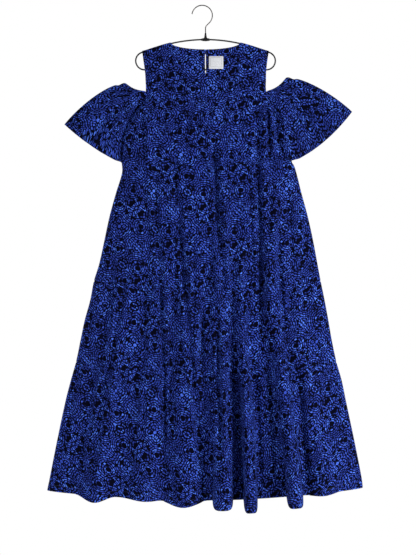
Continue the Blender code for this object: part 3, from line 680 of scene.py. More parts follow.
def crease_depth(face, x, height):
    """Troughs and ridges at the listed places, seen from the outside."""
    total = 0.0
    for crease in BACK_CREASES if face == BACK else FRONT_CREASES:
        share = (crease.top_z - height) / (crease.top_z - crease.low_z)
        reach = np.clip(share, -CREASE_OVERRUN, 1 + CREASE_OVERRUN)
        centre = mix(crease.top_x, crease.low_x, reach)
        inside = np.clip(share, 0, 1)
        window = smooth(inside / CREASE_FADE_IN) * smooth((1 - inside) / CREASE_FADE_OUT)
        across = (x - centre) / crease.width
        trough = np.exp(-across * across)
        bank = BANK_SHARE * np.exp(-((np.abs(across) - BANK_PLACE) / BANK_WIDTH) ** 2)
        total = total - crease.depth * window * (trough - bank)
    return total


def ripple_depth(x, height):
    """Small uneven ripples all over the cloth."""
    total = 0.0
    for ripple in RIPPLES:
        wander = RIPPLE_WANDER * np.sin(RIPPLE_WANDER_RATE * ripple.across * x + ripple.turn)
        turn = ripple.across * x + ripple.down * height + ripple.turn + wander
        swell = np.sin(RIPPLE_SWELL_RATE * turn + 2 * ripple.turn)
        total = total + ripple.depth * np.sin(turn) * swell
    return total


def body_grid(face, u, heights):
    """Outer points of the body below the yoke, at shares u and nominal heights."""
    u = u[None, :]
    height = heights[:, None]
    edge = armhole_depth(height)
    openness = np.where(height > UNDERARM, smooth(seam_share(height) / ARMHOLE_BLEND), 0.0)
    roundness = mix(BODY_ROUNDNESS, ARMHOLE_ROUNDNESS, openness)
    middle = read_section(height, "depth")
    depth = edge + (middle - edge) * np.clip(1 - u * u, 0, None) ** roundness
    depth = depth + fold_depth(face, u, height) + gather_depth(face, u, height)
    x = side_x(height, u)
    fine = pinch_depth(face, x, height) + crease_depth(face, x, height) + ripple_depth(x, height)
    depth = np.maximum(depth + fine * edge_fade(u), LEAST_DEPTH_SHARE * depth)
    half_width = (side_x(height, 1.0) - side_x(height, -1.0)) / 2
    depth = depth * armhole_pinch(height, BODY_PINCH_SHARPNESS * (1 - np.abs(u)) * half_width)
    z = height - sag_at(height) * (1 - np.abs(u) ** SAG_POWER) - hem_drop(face, u, height)
    return np.stack([x + 0 * z, face * depth, z], axis=2)


def yoke_fine_depth(face, x, z):
    """Small ripples and creases of a yoke."""
    return YOKE_RIPPLE_SHARE * ripple_depth(x, z) + crease_depth(face, x, z)


def yoke_grid(face, u, rows, slit_side):
    """Outer points of a yoke piece, from its top edge (row 0) to its seam (row 1)."""
    u = u[None, :]
    row = rows[:, None]
    tip = shoulder_height(TIP_HALF_WIDTH)
    nominal = mix(tip, YOKE_SEAM, row)
    top_x = u * TIP_HALF_WIDTH
    z = mix(neck_top(face, top_x), YOKE_SEAM, row)
    x = side_x(nominal, u) + 0 * z
    depth = yoke_depth(u, top_x, z)
    near_edge = smooth((np.abs(u) - 1 + YOKE_EDGE_SHARE) / YOKE_EDGE_SHARE)
    at_armhole = near_edge * smooth(row / YOKE_EDGE_ROWS)
    depth = mix(depth, armhole_depth(nominal), at_armhole)
    fine = yoke_fine_depth(face, x, z) * smooth(row / YOKE_FINE_ROWS) * edge_fade(u)
    depth = np.maximum(depth + fine, LEAST_DEPTH_SHARE * depth)
    depth = depth * armhole_pinch(nominal, (1 - np.abs(u)) * TIP_HALF_WIDTH)
    if slit_side:
        near = np.clip(1 - np.abs(u) / SLIT_REACH, 0, 1)
        x = x + slit_side * slit_half_width(z) * near
    return np.stack([x, face * depth, z], axis=2)


def sleeve_rim(sleeve, share):
    """Inner loop of a sleeve: armhole seam, then the free rim up to its peak."""
    height = mix(UNDERARM, ATTACH_HEIGHT, np.minimum(share / ATTACH_SHARE, 1.0))
    seam_x = side_x(height, sleeve.side)
    start_x = side_x(ATTACH_HEIGHT, sleeve.side)
    along = np.clip((share - ATTACH_SHARE) / (1 - ATTACH_SHARE), 0, 1)
    bend_x = mix(start_x, sleeve.peak_x, RIM_BEND_ACROSS)
    bend_z = mix(ATTACH_HEIGHT, sleeve.peak_z, RIM_BEND_UP) - RIM_DIP
    first, second, third = (1 - along) ** 2, 2 * along * (1 - along), along ** 2
    rim_x = first * start_x + second * bend_x + third * sleeve.peak_x
    rim_z = first * ATTACH_HEIGHT + second * bend_z + third * sleeve.peak_z
    on_seam = share <= ATTACH_SHARE
    depth = ARMHOLE_HALF_DEPTH * loop_depth(share)
    return np.where(on_seam, seam_x, rim_x), depth, np.where(on_seam, height, rim_z)


def sleeve_grid(sleeve, turns, steps):
    """Outer points of a sleeve: turns go round it, steps go from the armhole to the hem."""
    share = np.abs(turns)[None, :]
    face = np.where(turns < 0, BACK, FRONT)[None, :]
    step = steps[:, None]
    inner_x, inner_depth, inner_z = sleeve_rim(sleeve, share)
    cuff_x = side_x(sleeve.cuff_z, sleeve.side) + sleeve.side * CUFF_CLEARANCE
    length = math.hypot(sleeve.tip_x - cuff_x, sleeve.tip_z - sleeve.cuff_z)
    out_x = sleeve.side * (sleeve.tip_z - sleeve.cuff_z) / length
    out_z = -abs(sleeve.tip_x - cuff_x) / length
    bow = sleeve.hem_bow * 4 * share * (1 - share)
    hem_x = mix(cuff_x, sleeve.tip_x, share) + out_x * bow
    hem_z = mix(sleeve.cuff_z, sleeve.tip_z, share) + out_z * bow
    skewed = step ** BULGE_SKEW
    hump = np.clip(4 * skewed * (1 - skewed), 0, None) ** BULGE_POWER
    bulge = sleeve.top_bulge * hump * share ** 2
    x = mix(inner_x, hem_x, step) + sleeve.side * BULGE_OUT * bulge
    z = mix(inner_z, hem_z, step) + BULGE_UP * bulge
    beside_body = side_x(z, sleeve.side) + sleeve.side * CUFF_CLEARANCE
    x = mix(beside_body, x, smooth(share / UNDERARM_BLEND))
    depth = mix(inner_depth, sleeve.cuff_depth * loop_depth(share), step)
    window = np.sin(np.pi * share) ** 2
    wave = np.sin(2 * np.pi * SLEEVE_FOLDS * share + FOLD_TURN * face)
    depth = depth + SLEEVE_FOLD_DEPTH * smooth(step) * window * wave
    for crease in SLEEVE_CREASES:
        place = crease.share + SLEEVE_CREASE_OFFSET * face * sleeve.side
        across = (share - place) / crease.width
        grows = smooth((step - crease.start) / SLEEVE_CREASE_RUN)
        depth = depth - crease.depth * grows * np.exp(-across * across) * window
    depth = depth + ripple_depth(2 * x, 2 * z) * window
    seam_height = mix(UNDERARM, ATTACH_HEIGHT, np.minimum(share / ATTACH_SHARE, 1.0))
    from_seam = step * math.hypot(hem_x[0, 0] - inner_x[0, 0], SLEEVE_PULL_WIDTH)
    depth = depth * armhole_pinch(seam_height, from_seam)
    stand = RIM_STAND * np.exp(-((step / RIM_STAND_WIDTH) ** 2))
    notch = RIM_NOTCH * np.exp(-(((step - RIM_NOTCH_STEP) / RIM_STAND_WIDTH) ** 2))
    z = z + (stand - notch) * smooth((share - 1 + RIM_END_SHARE) / RIM_END_SHARE)
    return np.stack([x, face * np.maximum(depth, 0), z], axis=2)


# Surfaces with their normals and their lengths across and down the cloth

def measured(points, outward):
    """Surface with normals that point outward and arc lengths in metres."""
    across_step = np.gradient(points, axis=1)
    down_step = np.gradient(points, axis=0)
    normals = unit(np.cross(across_step, down_step))
    if (normals * outward).sum() < 0:
        normals = -normals
    across = np.linalg.norm(np.diff(points, axis=1), axis=2)
    across = np.concatenate([np.zeros((len(points), 1)), np.cumsum(across, axis=1)], axis=1)
    down = np.linalg.norm(np.diff(points, axis=0), axis=2)
    down = np.concatenate([np.zeros((1, points.shape[1])), np.cumsum(down, axis=0)], axis=0)
    return Surface(points, normals, across, down)


def closed_normals(surface):
    """Same surface, whose first and last columns meet and so share their normals."""
    normals = surface.normals.copy()
    normals[:, [0, -1]] = unit(normals[:, 0] + normals[:, -1])[:, None, :]
    return surface._replace(normals=normals)


def seam_dip(distance):
    """How deep the cloth dips into a seam at a distance from it."""
    return SEAM_TUCK * (1 - smooth(distance / SEAM_TUCK_WIDTH))


def seam_lift(distance, along):
    """Cloth dips into a seam and puckers a little beside it."""
    turn = 2 * np.pi * along / PUCKER_PITCH + PUCKER_STRAY * np.sin(PUCKER_STRAY_RATE * along)
    return PUCKER_DEPTH * np.sin(turn) * np.exp(-distance / PUCKER_REACH) - seam_dip(distance)


def turned_lift(distance, width):
    """Double cloth along a turned edge, with a groove under its row of stitches."""
    double = HEM_THICKNESS * (1 - smooth((distance - width) / HEM_STEP))
    groove = np.exp(-((distance - width + HEM_STEP) / STITCH_GROOVE_WIDTH) ** 2)
    return double - STITCH_GROOVE * groove


def lifted(surface, lift, outward):
    """Surface moved along its normals by a lift in metres at each point."""
    return measured(surface.points + surface.normals * lift[:, :, None], outward)


def tier_columns(face, with_tubes):
    """Shares across a tier: even ones, with close ones round the sides of each hem tube."""
    columns = list(np.linspace(-1.0, 1.0, TIER_COLUMNS))
    if not with_tubes:
        return np.array(columns)
    inner = np.sin(np.linspace(TUBE_INNER_SHARE, 1.0, TUBE_COLUMNS) * np.pi / 2)
    around = np.concatenate([inner, 2 - inner[TUBE_OUTER_FROM:]])
    for fold in folds_of(face):
        if fold.tube > LEAST_TUBE:
            columns += list(fold.at_hem + fold.half_width * around)
            columns += list(fold.at_hem - fold.half_width * around)
    columns = np.sort(np.array(columns))
    keep = np.concatenate([[True], np.diff(columns) > LEAST_COLUMN_GAP])
    return columns[keep & (np.abs(columns) <= 1.0)]


Tier = namedtuple("Tier", "name face top bottom rows")
TIERS = tuple(
    Tier(stem + ending, face, top, bottom, rows)
    for face, ending in ((BACK, "_back"), (FRONT, "_front"))
    for stem, top, bottom, rows in (
        ("upper_tier", YOKE_SEAM, UPPER_SEAM, 108),
        ("middle_tier", UPPER_SEAM, LOWER_SEAM, 62),
        ("bottom_tier", LOWER_SEAM, HEM, 84),
    )
)


def tier_surface(tier, hem_depth):
    """One tier, with its cloth dipping into its seams, or its turned hem."""
    outward = np.array([0.0, tier.face, 0.0])
    u = tier_columns(tier.face, tier.bottom == HEM)
    heights = mix(tier.top, tier.bottom, even_spread(tier.rows, TIER_ROW_GATHER))
    surface = measured(body_grid(tier.face, u, heights), outward)
    from_top = surface.down
    from_bottom = surface.down[-1:] - surface.down
    lift = seam_lift(from_top, surface.across)
    if tier.bottom == HEM:
        lift = lift + turned_lift(from_bottom, hem_depth)
    else:
        lift = lift + seam_lift(from_bottom, surface.across + PUCKER_SHIFT)
    below_sleeves = smooth((UNDERARM - heights) / SIDE_SEAM_FADE - 1)[:, None]
    for distance in (surface.across, surface.across[:, -1:] - surface.across):
        lift = lift - SIDE_SEAM_SHARE * seam_dip(distance) * below_sleeves
    return lifted(surface, lift, outward)


YokePiece = namedtuple("YokePiece", "name face side")
YOKE_PIECES = (
    YokePiece("back_yoke_left", BACK, -1),
    YokePiece("back_yoke_right", BACK, 1),
    YokePiece("front_yoke", FRONT, 0),
)


def yoke_columns(side):
    """Shares across a yoke piece, close together at the neck point."""
    neck = NECK_HALF_WIDTH / TIP_HALF_WIDTH
    inner = neck * np.sin(np.linspace(0, 1, YOKE_NECK_COLUMNS) * np.pi / 2)
    shoulder = even_spread(YOKE_SHOULDER_COLUMNS, YOKE_SHOULDER_GATHER)[1:]
    outer = neck + (1 - neck) * shoulder
    half = np.concatenate([inner, outer])
    if side:
        return np.sort(half * side)
    return np.concatenate([-half[:0:-1], half])


def yoke_surface(piece, turn_width):
    """One yoke piece with its shoulder seams, turned neck and slit edges and lower seam."""
    outward = np.array([0.0, piece.face, 0.0])
    u = yoke_columns(piece.side)
    rows = even_spread(YOKE_ROWS, YOKE_ROW_GATHER)
    surface = measured(yoke_grid(piece.face, u, rows, piece.side), outward)
    from_bottom = surface.down[-1:] - surface.down
    past_neck = np.abs(u) * TIP_HALF_WIDTH - NECK_HALF_WIDTH
    on_shoulder = smooth(past_neck / SHOULDER_SEAM_FADE)[None, :]
    lift = mix(turned_lift(surface.down, turn_width), seam_lift(surface.down, surface.across),
               on_shoulder) * smooth(surface.down / TOP_EDGE_FADE)
    lift = lift + YOKE_SEAM_SHARE * seam_lift(from_bottom, surface.across) * (from_bottom > 0)
    from_left = surface.across
    from_right = surface.across[:, -1:] - surface.across
    height = surface.points[:, :, 2]
    armholes = (from_left, from_right)
    if piece.side:
        armholes = (from_right,) if piece.side > 0 else (from_left,)
        middle = from_left if piece.side > 0 else from_right
        sewn = smooth((SLIT_BOTTOM - height) / SLIT_TAPER)
        lift = lift + mix(turned_lift(middle, turn_width), seam_lift(middle, height), sewn)
        lift = lift - SLIT_ROLL[piece.side] * (1 - sewn) * (1 - smooth(middle / SLIT_ROLL_WIDTH))
    free = smooth((height - ATTACH_HEIGHT) / ARMHOLE_SEAM_FADE)
    for distance in armholes:
        sewn = -ARMHOLE_SEAM_SHARE * seam_dip(distance)
        lift = lift + mix(sewn, turned_lift(distance, turn_width), free)
    return lifted(surface, lift, outward)


def sleeve_turns():
    """Turns round a sleeve: minus is the back, plus the front, 0 the underarm, 1 the top."""
    half = even_spread(SLEEVE_TURNS, 1.0)[1:]
    return np.concatenate([-half[::-1], [0.0], half])


def sleeve_surface(sleeve, hem_depth, turn_width):
    """One sleeve, sewn round the armhole, with a turned top rim and hem."""
    turns = sleeve_turns()
    steps = even_spread(SLEEVE_STEPS, SLEEVE_STEP_GATHER)
    points = sleeve_grid(sleeve, turns, steps)
    outward = np.zeros_like(points)
    outward[:, :, 1] = np.where(turns < 0, BACK, FRONT)[None, :] * np.sin(np.pi * np.abs(turns))
    surface = closed_normals(measured(points, outward))
    from_bottom = surface.down[-1:] - surface.down
    free = smooth((np.abs(turns) - ATTACH_SHARE) / FREE_RIM_FADE)[None, :]
    sewn = seam_lift(surface.down, surface.across) * smooth(surface.down / SEAM_TUCK_WIDTH)
    lift = mix(sewn, turned_lift(surface.down, turn_width), free)
    lift = lift + turned_lift(from_bottom, hem_depth)
    lift = lift * np.minimum(1.0, np.sin(np.pi * np.abs(turns)) / SLEEVE_SIDE_FADE)[None, :]
    return closed_normals(lifted(surface, lift, outward))


# Meshes

def world_points(points):
    """Points moved from the garment's centre line to their place in the frame."""
    return points + np.array([STEM_X, 0.0, 0.0])


def grid_quads(rows, columns, start=0, flipped=False):
    """Corner numbers of the quads of a grid of points."""
    row, column = np.meshgrid(np.arange(rows - 1), np.arange(columns - 1), indexing="ij")
    first = (start + row * columns + column).ravel()
    quads = np.stack([first, first + columns, first + columns + 1, first + 1], axis=1)
    return quads[:, ::-1] if flipped else quads


def rim_quads(line, offset, flipped):
    """Quads between a line of outer points and the same line of inner points."""
    quads = np.stack([line[:-1], line[1:], line[1:] + offset, line[:-1] + offset], axis=1)
    return quads[:, ::-1] if flipped else quads


def new_piece(name, data, materials):
    """Object for a mesh that rides on the body and takes its finish from a slot."""
    piece = bpy.data.objects.new(name, data)
    bpy.context.scene.collection.objects.link(piece)
    for material in materials:
        data.materials.append(material)
    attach(piece, BODY_NAME)
    return piece


def mesh_of(name, points, quads, uv=None, kinds=None):
    """Smooth mesh from arrays of points and quads, with cloth coordinates in metres."""
    data = bpy.data.meshes.new(name)
    data.from_pydata(points.tolist(), [], quads.tolist())
    if uv is not None:
        layer = data.uv_layers.new(name="Cloth")
        corners = np.empty(len(data.loops), dtype=np.int32)
        data.loops.foreach_get("vertex_index", corners)
        layer.data.foreach_set("uv", uv[corners].astype(np.float32).ravel())
    if kinds is not None:
        data.polygons.foreach_set("material_index", kinds.astype(np.int32))
    data.shade_smooth()
    data.set_sharp_from_angle(angle=CLOTH_SHARP_ANGLE)
    data.update()
    return data


def shell_mesh(name, surface, wall, shift=0.0, inside=0, closed=False):
    """Thin shell with filled edges, whose inner side takes the inside material's number."""
    rows, columns = surface.across.shape
    inner = surface.points - surface.normals * wall
    points = np.concatenate([surface.points.reshape(-1, 3), inner.reshape(-1, 3)])
    count = rows * columns
    numbers = np.arange(count).reshape(rows, columns)
    middle = surface.across[:, -1:] / 2
    uv = np.stack([surface.across - middle, -surface.down], axis=2).reshape(-1, 2) + shift
    step_across = surface.points[0, 1] - surface.points[0, 0]
    step_down = surface.points[1, 0] - surface.points[0, 0]
    flip = np.dot(np.cross(step_down, step_across), surface.normals[0, 0]) <= 0
    sides = [grid_quads(rows, columns, 0, flip), grid_quads(rows, columns, count, not flip)]
    rims = [rim_quads(numbers[0], count, flip), rim_quads(numbers[-1], count, not flip)]
    if not closed:
        rims += [rim_quads(numbers[:, 0], count, not flip), rim_quads(numbers[:, -1], count, flip)]
    quads = np.concatenate(sides + rims)
    kinds = np.zeros(len(quads), dtype=int)
    kinds[len(sides[0]):len(sides[0]) + len(sides[1])] = inside
    data = mesh_of(name, world_points(points), quads, np.tile(uv, (2, 1)), kinds)
    if closed:
        weld_columns(data)
    return data


def cloth_shell(name, surface, shift, looks, closed=False):
    """Piece of cloth in its solid's place: printed outside, paler inside."""
    data = shell_mesh(name, surface, looks.wall, shift, 1, closed)
    piece = new_piece(name + "_cloth", data, cloth_materials(looks))
    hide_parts(name)
    return piece


def weld_columns(data):
    """Joins the first and last columns of a tube, which lie on each other."""
    work = bmesh.new()
    work.from_mesh(data)
    bmesh.ops.remove_doubles(work, verts=work.verts, dist=1e-6)
    work.to_mesh(data)
    work.free()


def line_at(surface, distance, side):
    """Line of points and normals at a distance inside one edge of a surface."""
    points, normals = surface.points, surface.normals
    if side in ("left", "right"):
        points = points.transpose(1, 0, 2)
        normals = normals.transpose(1, 0, 2)
        lengths = surface.across.T
    else:
        lengths = surface.down
    if side in ("bottom", "right"):
        lengths = (lengths[-1:] - lengths)[::-1]
        points = points[::-1]
        normals = normals[::-1]
    line, up = [], []
    for column in range(points.shape[1]):
        index = int(np.searchsorted(lengths[:, column], distance))
        index = min(max(index, 1), len(lengths) - 1)
        low, high = lengths[index - 1, column], lengths[index, column]
        share = (distance - low) / max(high - low, 1e-9)
        line.append(mix(points[index - 1, column], points[index, column], share))
        up.append(mix(normals[index - 1, column], normals[index, column], share))
    return np.array(line), np.array(up)


def read_along(places, reach, values):
    """Values of each axis at places along a line whose points lie at the given reach."""
    return np.stack([np.interp(places, reach, values[:, axis]) for axis in range(3)], axis=1)


def stitch_row(line, up, pitch, length):
    """Points of small thread lozenges along a line."""
    reach = np.concatenate([[0], np.cumsum(np.linalg.norm(np.diff(line, axis=0), axis=1))])
    places = np.arange(pitch, reach[-1] - pitch / 2, pitch)
    centre = read_along(places, reach, line)
    normal = unit(read_along(places, reach, up))
    along = unit(read_along(places + length / 4, reach, line) - centre)
    beside = np.cross(normal, along)
    aside = beside * STITCH_HALF_WIDTH
    out = normal * STITCH_HEIGHT
    sink = out * STITCH_END_SINK
    shoulder = out * STITCH_SHOULDER
    shapes = (
        -along * length / 2 - sink,
        -along * length / 4 + aside + shoulder,
        -along * length / 4 - aside + shoulder,
        out,
        along * length / 4 + aside + shoulder,
        along * length / 4 - aside + shoulder,
        along * length / 2 - sink,
        -out * STITCH_UNDERSIDE,
    )
    return np.stack([centre + shape for shape in shapes], axis=1)


STITCH_FACES = ((0, 2, 3), (0, 3, 1), (1, 3, 4), (2, 5, 3), (3, 5, 6), (3, 6, 4),
                (0, 1, 7), (0, 7, 2), (1, 4, 7), (2, 7, 5), (4, 6, 7), (5, 7, 6))


def sewn_row(surface, inset, side, looks, keep=None):
    """Stitches beside one edge of a surface, only where the line's points are kept."""
    line, up = line_at(surface, inset, side)
    if keep is not None:
        chosen = keep(line)
        line, up = line[chosen], up[chosen]
    return stitch_row(line, up, looks.stitch_pitch, looks.stitch_length)


def add_stitches(name, rows, material):
    """One joined mesh of every stitch in the given rows."""
    points = np.concatenate([row.reshape(-1, 3) for row in rows])
    starts = np.arange(0, len(points), STITCH_POINTS)[:, None, None]
    faces = (np.array(STITCH_FACES)[None, :, :] + starts).reshape(-1, 3)
    data = mesh_of(name, world_points(points), faces)
    return new_piece(name, data, [material])


def arc_points(centre_a, centre_b, radius, start, end, count):
    """Points of an arc in a plane, such as the hanger's or the floor's."""
    angles = np.linspace(start, end, count)
    return [(centre_a + radius * math.cos(a), centre_b + radius * math.sin(a)) for a in angles]


def tube_mesh(name, path, radius, sides, closed, round_ends=False):
    """Round wire through (x, z) points in the hanger's plane."""
    path = np.array([(x, 0.0, z) for x, z in path])
    radii = np.full(len(path), radius)
    if round_ends:
        path, radii = rounded_ends(path, radius)
    if closed:
        tangent = np.roll(path, -1, axis=0) - np.roll(path, 1, axis=0)
    else:
        tangent = np.gradient(path, axis=0)
    tangent = unit(tangent)
    side = np.array([0.0, 1.0, 0.0])
    other = np.cross(tangent, side)
    angles = np.arange(sides) * 2 * np.pi / sides
    ring = side * np.cos(angles)[None, :, None] + other[:, None, :] * np.sin(angles)[None, :, None]
    points = path[:, None, :] + ring * radii[:, None, None]
    quads = ring_quads(len(path), sides, closed=closed)
    if not closed:
        quads += end_caps(len(path), sides)
    return wire_mesh(name, points.reshape(-1, 3), quads)


def ring_quads(rings, sides, start=0, closed=False, flipped=False):
    """Corner numbers of the quads between rings of points that follow each other."""
    quads = []
    for row in range(rings if closed else rings - 1):
        low = start + row * sides
        high = start + (row + 1) % rings * sides
        for column in range(sides):
            near = (column + 1) % sides
            quad = (low + column, low + near, high + near, high + column)
            quads.append(quad[::-1] if flipped else quad)
    return quads


def end_caps(rings, sides, start=0, flipped=False):
    """Flat faces that close the first and the last ring."""
    first = tuple(range(start, start + sides))
    last = tuple(range(start + (rings - 1) * sides, start + rings * sides))
    return [first, last[::-1]] if flipped else [first[::-1], last]


def wire_mesh(name, points, faces):
    """Smooth mesh of a part of the hanger."""
    data = bpy.data.meshes.new(name)
    data.from_pydata(world_points(points).tolist(), [], faces)
    data.shade_smooth()
    data.set_sharp_from_angle(angle=WIRE_SHARP_ANGLE)
    return data


def rounded_ends(path, radius):
    """Path with short half-round ends, and the radius at each of its points."""
    start = unit(path[0] - path[1])
    end = unit(path[-1] - path[-2])
    angles = np.linspace(0, np.pi / 2, WIRE_END_RINGS)[1:]
    heads = [path[0] - start * radius * (1 - math.sin(angle)) for angle in angles[::-1]]
    tails = [path[-1] - end * radius * (1 - math.sin(angle)) for angle in angles]
    slim = [max(math.cos(angle), WIRE_END_SLIMMEST) * radius for angle in angles]
    body = path[1:-1]
    radii = slim[::-1] + [radius] * len(body) + slim
    return np.array(heads + list(body) + tails), np.array(radii)


# Materials

# Noise of a scale and a detail, read as a smooth step from start to end between low and high
Grain = namedtuple("Grain", "scale detail low high start end")
LARGE_BLOTS = Grain(26.0, 2.5, 0.592, 0.602, 1.0, 0.0)
SMALL_BLOTS = Grain(66.0, 1.5, 0.608, 0.620, 1.0, 0.0)
LOOSE_BLOTS = Grain(62.0, 3.0, 0.62, 0.635, 1.0, 0.0)
INK_GRAIN = Grain(330.0, 1.0, 0.36, 0.62, 0.70, 1.0)
INK_TIDE = Grain(19.0, 2.0, 0.3, 0.7, 0.62, 1.0)
COTTON_GLOSS = Grain(600.0, 1.0, 0.2, 0.8, 0.74, 0.90)
LABEL_MOTTLE = Grain(700.0, 2.0, 0.3, 0.7, 0.0, 0.14)
LABEL_GLOSS = Grain(420.0, 1.0, 0.2, 0.8, 0.45, 0.65)
THREAD_TONE = Grain(900.0, 1.0, 0.3, 0.7, 0.0, 0.5)
COATING_TONE = Grain(60.0, 3.0, 0.45, 0.8, 0.0, 0.6)
COATING_GLOSS = Grain(140.0, 2.0, 0.3, 0.7, 0.32, 0.52)
PLATING_TONE = Grain(90.0, 3.0, 0.5, 0.75, 0.0, 0.7)
PLATING_GLOSS = Grain(220.0, 2.0, 0.3, 0.7, 0.24, 0.42)
PAPER_TONE = Grain(3.0, 2.0, 0.3, 0.7, 0.0, 1.0)

# Print: soft edges of its stripes and strokes as shares of their pitch, how strong the
# strokes are, how far each ring is turned, and how much rings and eyes stray
STRIPE_EDGE = (0.21, 0.30)
STROKE_EDGE = (0.09, 0.17)
STROKE_STRENGTHS = (0.34, 1.0)
RING_TURN = 0.37
RING_RANDOMNESS = 0.95
RING_WAVER_SCALE = 30.0
EYE_WAVER_SCALE = 120.0
EYE_EDGE = 0.0012

# Wrong side of the cloth: its ground and its deep blue lie between the right side's ground
# and deep blue, and its bright blue between deep and bright, at these shares
REVERSE_SHARES = (0.22, 0.55, 0.05)
SHEEN_TINT = (0.45, 0.55, 1.0, 1.0)

# Label: edge, strength and shade of its line, shades of its mottle and its thread, and the
# spacing of its weave, with the twist of all sewing thread in radians for each metre
LABEL_LINE_EDGE = (0.0004, 0.0007)
LABEL_LINE_STRENGTH = 0.55
LABEL_LINE_SHADE = 0.25
LABEL_MOTTLE_SHADE = 0.75
LABEL_THREAD_SHADE = 0.8
LABEL_THREAD_SPACING = 0.0006
THREAD_TWIST = 9000.0


class Board:
    """Node tree of one material, with short calls for the nodes used here."""

    def __init__(self, name):
        self.material = bpy.data.materials.new(name)
        self.material.use_nodes = True
        self.tree = self.material.node_tree
        self.shader = self.tree.nodes["Principled BSDF"]

    def add(self, kind, **settings):
        """New node with its settings."""
        node = self.tree.nodes.new(kind)
        for key, value in settings.items():
            setattr(node, key, value)
        return node

    def feed(self, socket, value):
        """Gives a socket a link or a plain value."""
        if isinstance(value, bpy.types.NodeSocket):
            self.tree.links.new(value, socket)
        else:
            socket.default_value = value

    def math(self, operation, first, second=0.0, third=0.0):
        """One math node."""
        node = self.add("ShaderNodeMath", operation=operation)
        for socket, value in zip(node.inputs, (first, second, third)):
            self.feed(socket, value)
        return node.outputs[0]

    def ramp(self, value, low, high, start=0.0, end=1.0):
        """Smooth change from start to end while the value goes from low to high."""
        node = self.add("ShaderNodeMapRange", interpolation_type="SMOOTHSTEP")
        for socket, number in zip(node.inputs, (value, low, high, start, end)):
            self.feed(socket, number)
        return node.outputs[0]

    def vector(self, x, y, z=0.0):
        """Vector from three numbers."""
        node = self.add("ShaderNodeCombineXYZ")
        for socket, value in zip(node.inputs, (x, y, z)):
            self.feed(socket, value)
        return node.outputs[0]

    def split(self, vector):
        """The x, y and z of a vector."""
        node = self.add("ShaderNodeSeparateXYZ")
        self.feed(node.inputs[0], vector)
        return node.outputs

    def noise(self, vector, scale, detail=2.0):
        """Noise texture."""
        node = self.add("ShaderNodeTexNoise")
        self.feed(node.inputs["Vector"], vector)
        node.inputs["Scale"].default_value = scale
        node.inputs["Detail"].default_value = detail
        return node.outputs

    def grain(self, vector, grain):
        """Noise that is read through its grain's smooth step."""
        noise = self.noise(vector, grain.scale, grain.detail)[0]
        return self.ramp(noise, grain.low, grain.high, grain.start, grain.end)

    def object_place(self):
        """Place on the object in metres."""
        return self.add("ShaderNodeTexCoord").outputs["Object"]

    def blend(self, share, first, second):
        """Mix of two colours."""
        node = self.add("ShaderNodeMix", data_type="RGBA")
        self.feed(node.inputs[0], share)
        self.feed(node.inputs[6], first)
        self.feed(node.inputs[7], second)
        return node.outputs[2]

    def bump(self, height, distance, strength=1.0):
        """Small relief on the shader."""
        node = self.add("ShaderNodeBump")
        node.inputs["Strength"].default_value = strength
        node.inputs["Distance"].default_value = distance
        self.feed(node.inputs["Height"], height)
        self.feed(self.shader.inputs["Normal"], node.outputs[0])

    def cloth_place(self):
        """Place on the cloth in metres, across and down."""
        node = self.add("ShaderNodeUVMap", uv_map="Cloth")
        return node.outputs[0]

    def set(self, **values):
        """Constant values on the shader's own sockets."""
        for key, value in values.items():
            self.shader.inputs[key.replace("_", " ")].default_value = value


def solid(colour, share=1.0):
    """Opaque colour, at a share of its brightness."""
    return tuple(min(1.0, share * value) for value in colour) + (1.0,)


def weave_height(board, place, thread):
    """Height of a plain weave with the given distance between threads."""
    x, y, _ = board.split(place)
    turn = 2 * math.pi / thread
    warp = board.math("SINE", board.math("MULTIPLY", x, turn))
    weft = board.math("SINE", board.math("MULTIPLY", y, turn))
    return board.math("MULTIPLY", warp, weft)


def mirrored_cells(board, place, looks):
    """Place inside a diagonal lattice of cells, each the mirror of its neighbours."""
    x, y, _ = board.split(place)
    diagonal = math.sqrt(0.5)
    half = looks.cell_size / 2
    across = board.math("MULTIPLY", board.math("ADD", x, y), diagonal)
    along = board.math("MULTIPLY", board.math("SUBTRACT", x, y), diagonal)
    return board.vector(board.math("PINGPONG", across, half), board.math("PINGPONG", along, half))


def shifted(board, vector, noise_scale, reach):
    """Vector moved about by soft noise."""
    x, y, _ = board.split(vector)
    push_x, push_y, _ = board.split(board.noise(vector, noise_scale, 1.0)[1])
    x = board.math("MULTIPLY_ADD", board.math("SUBTRACT", push_x, 0.5), reach, x)
    y = board.math("MULTIPLY_ADD", board.math("SUBTRACT", push_y, 0.5), reach, y)
    return board.vector(x, y)


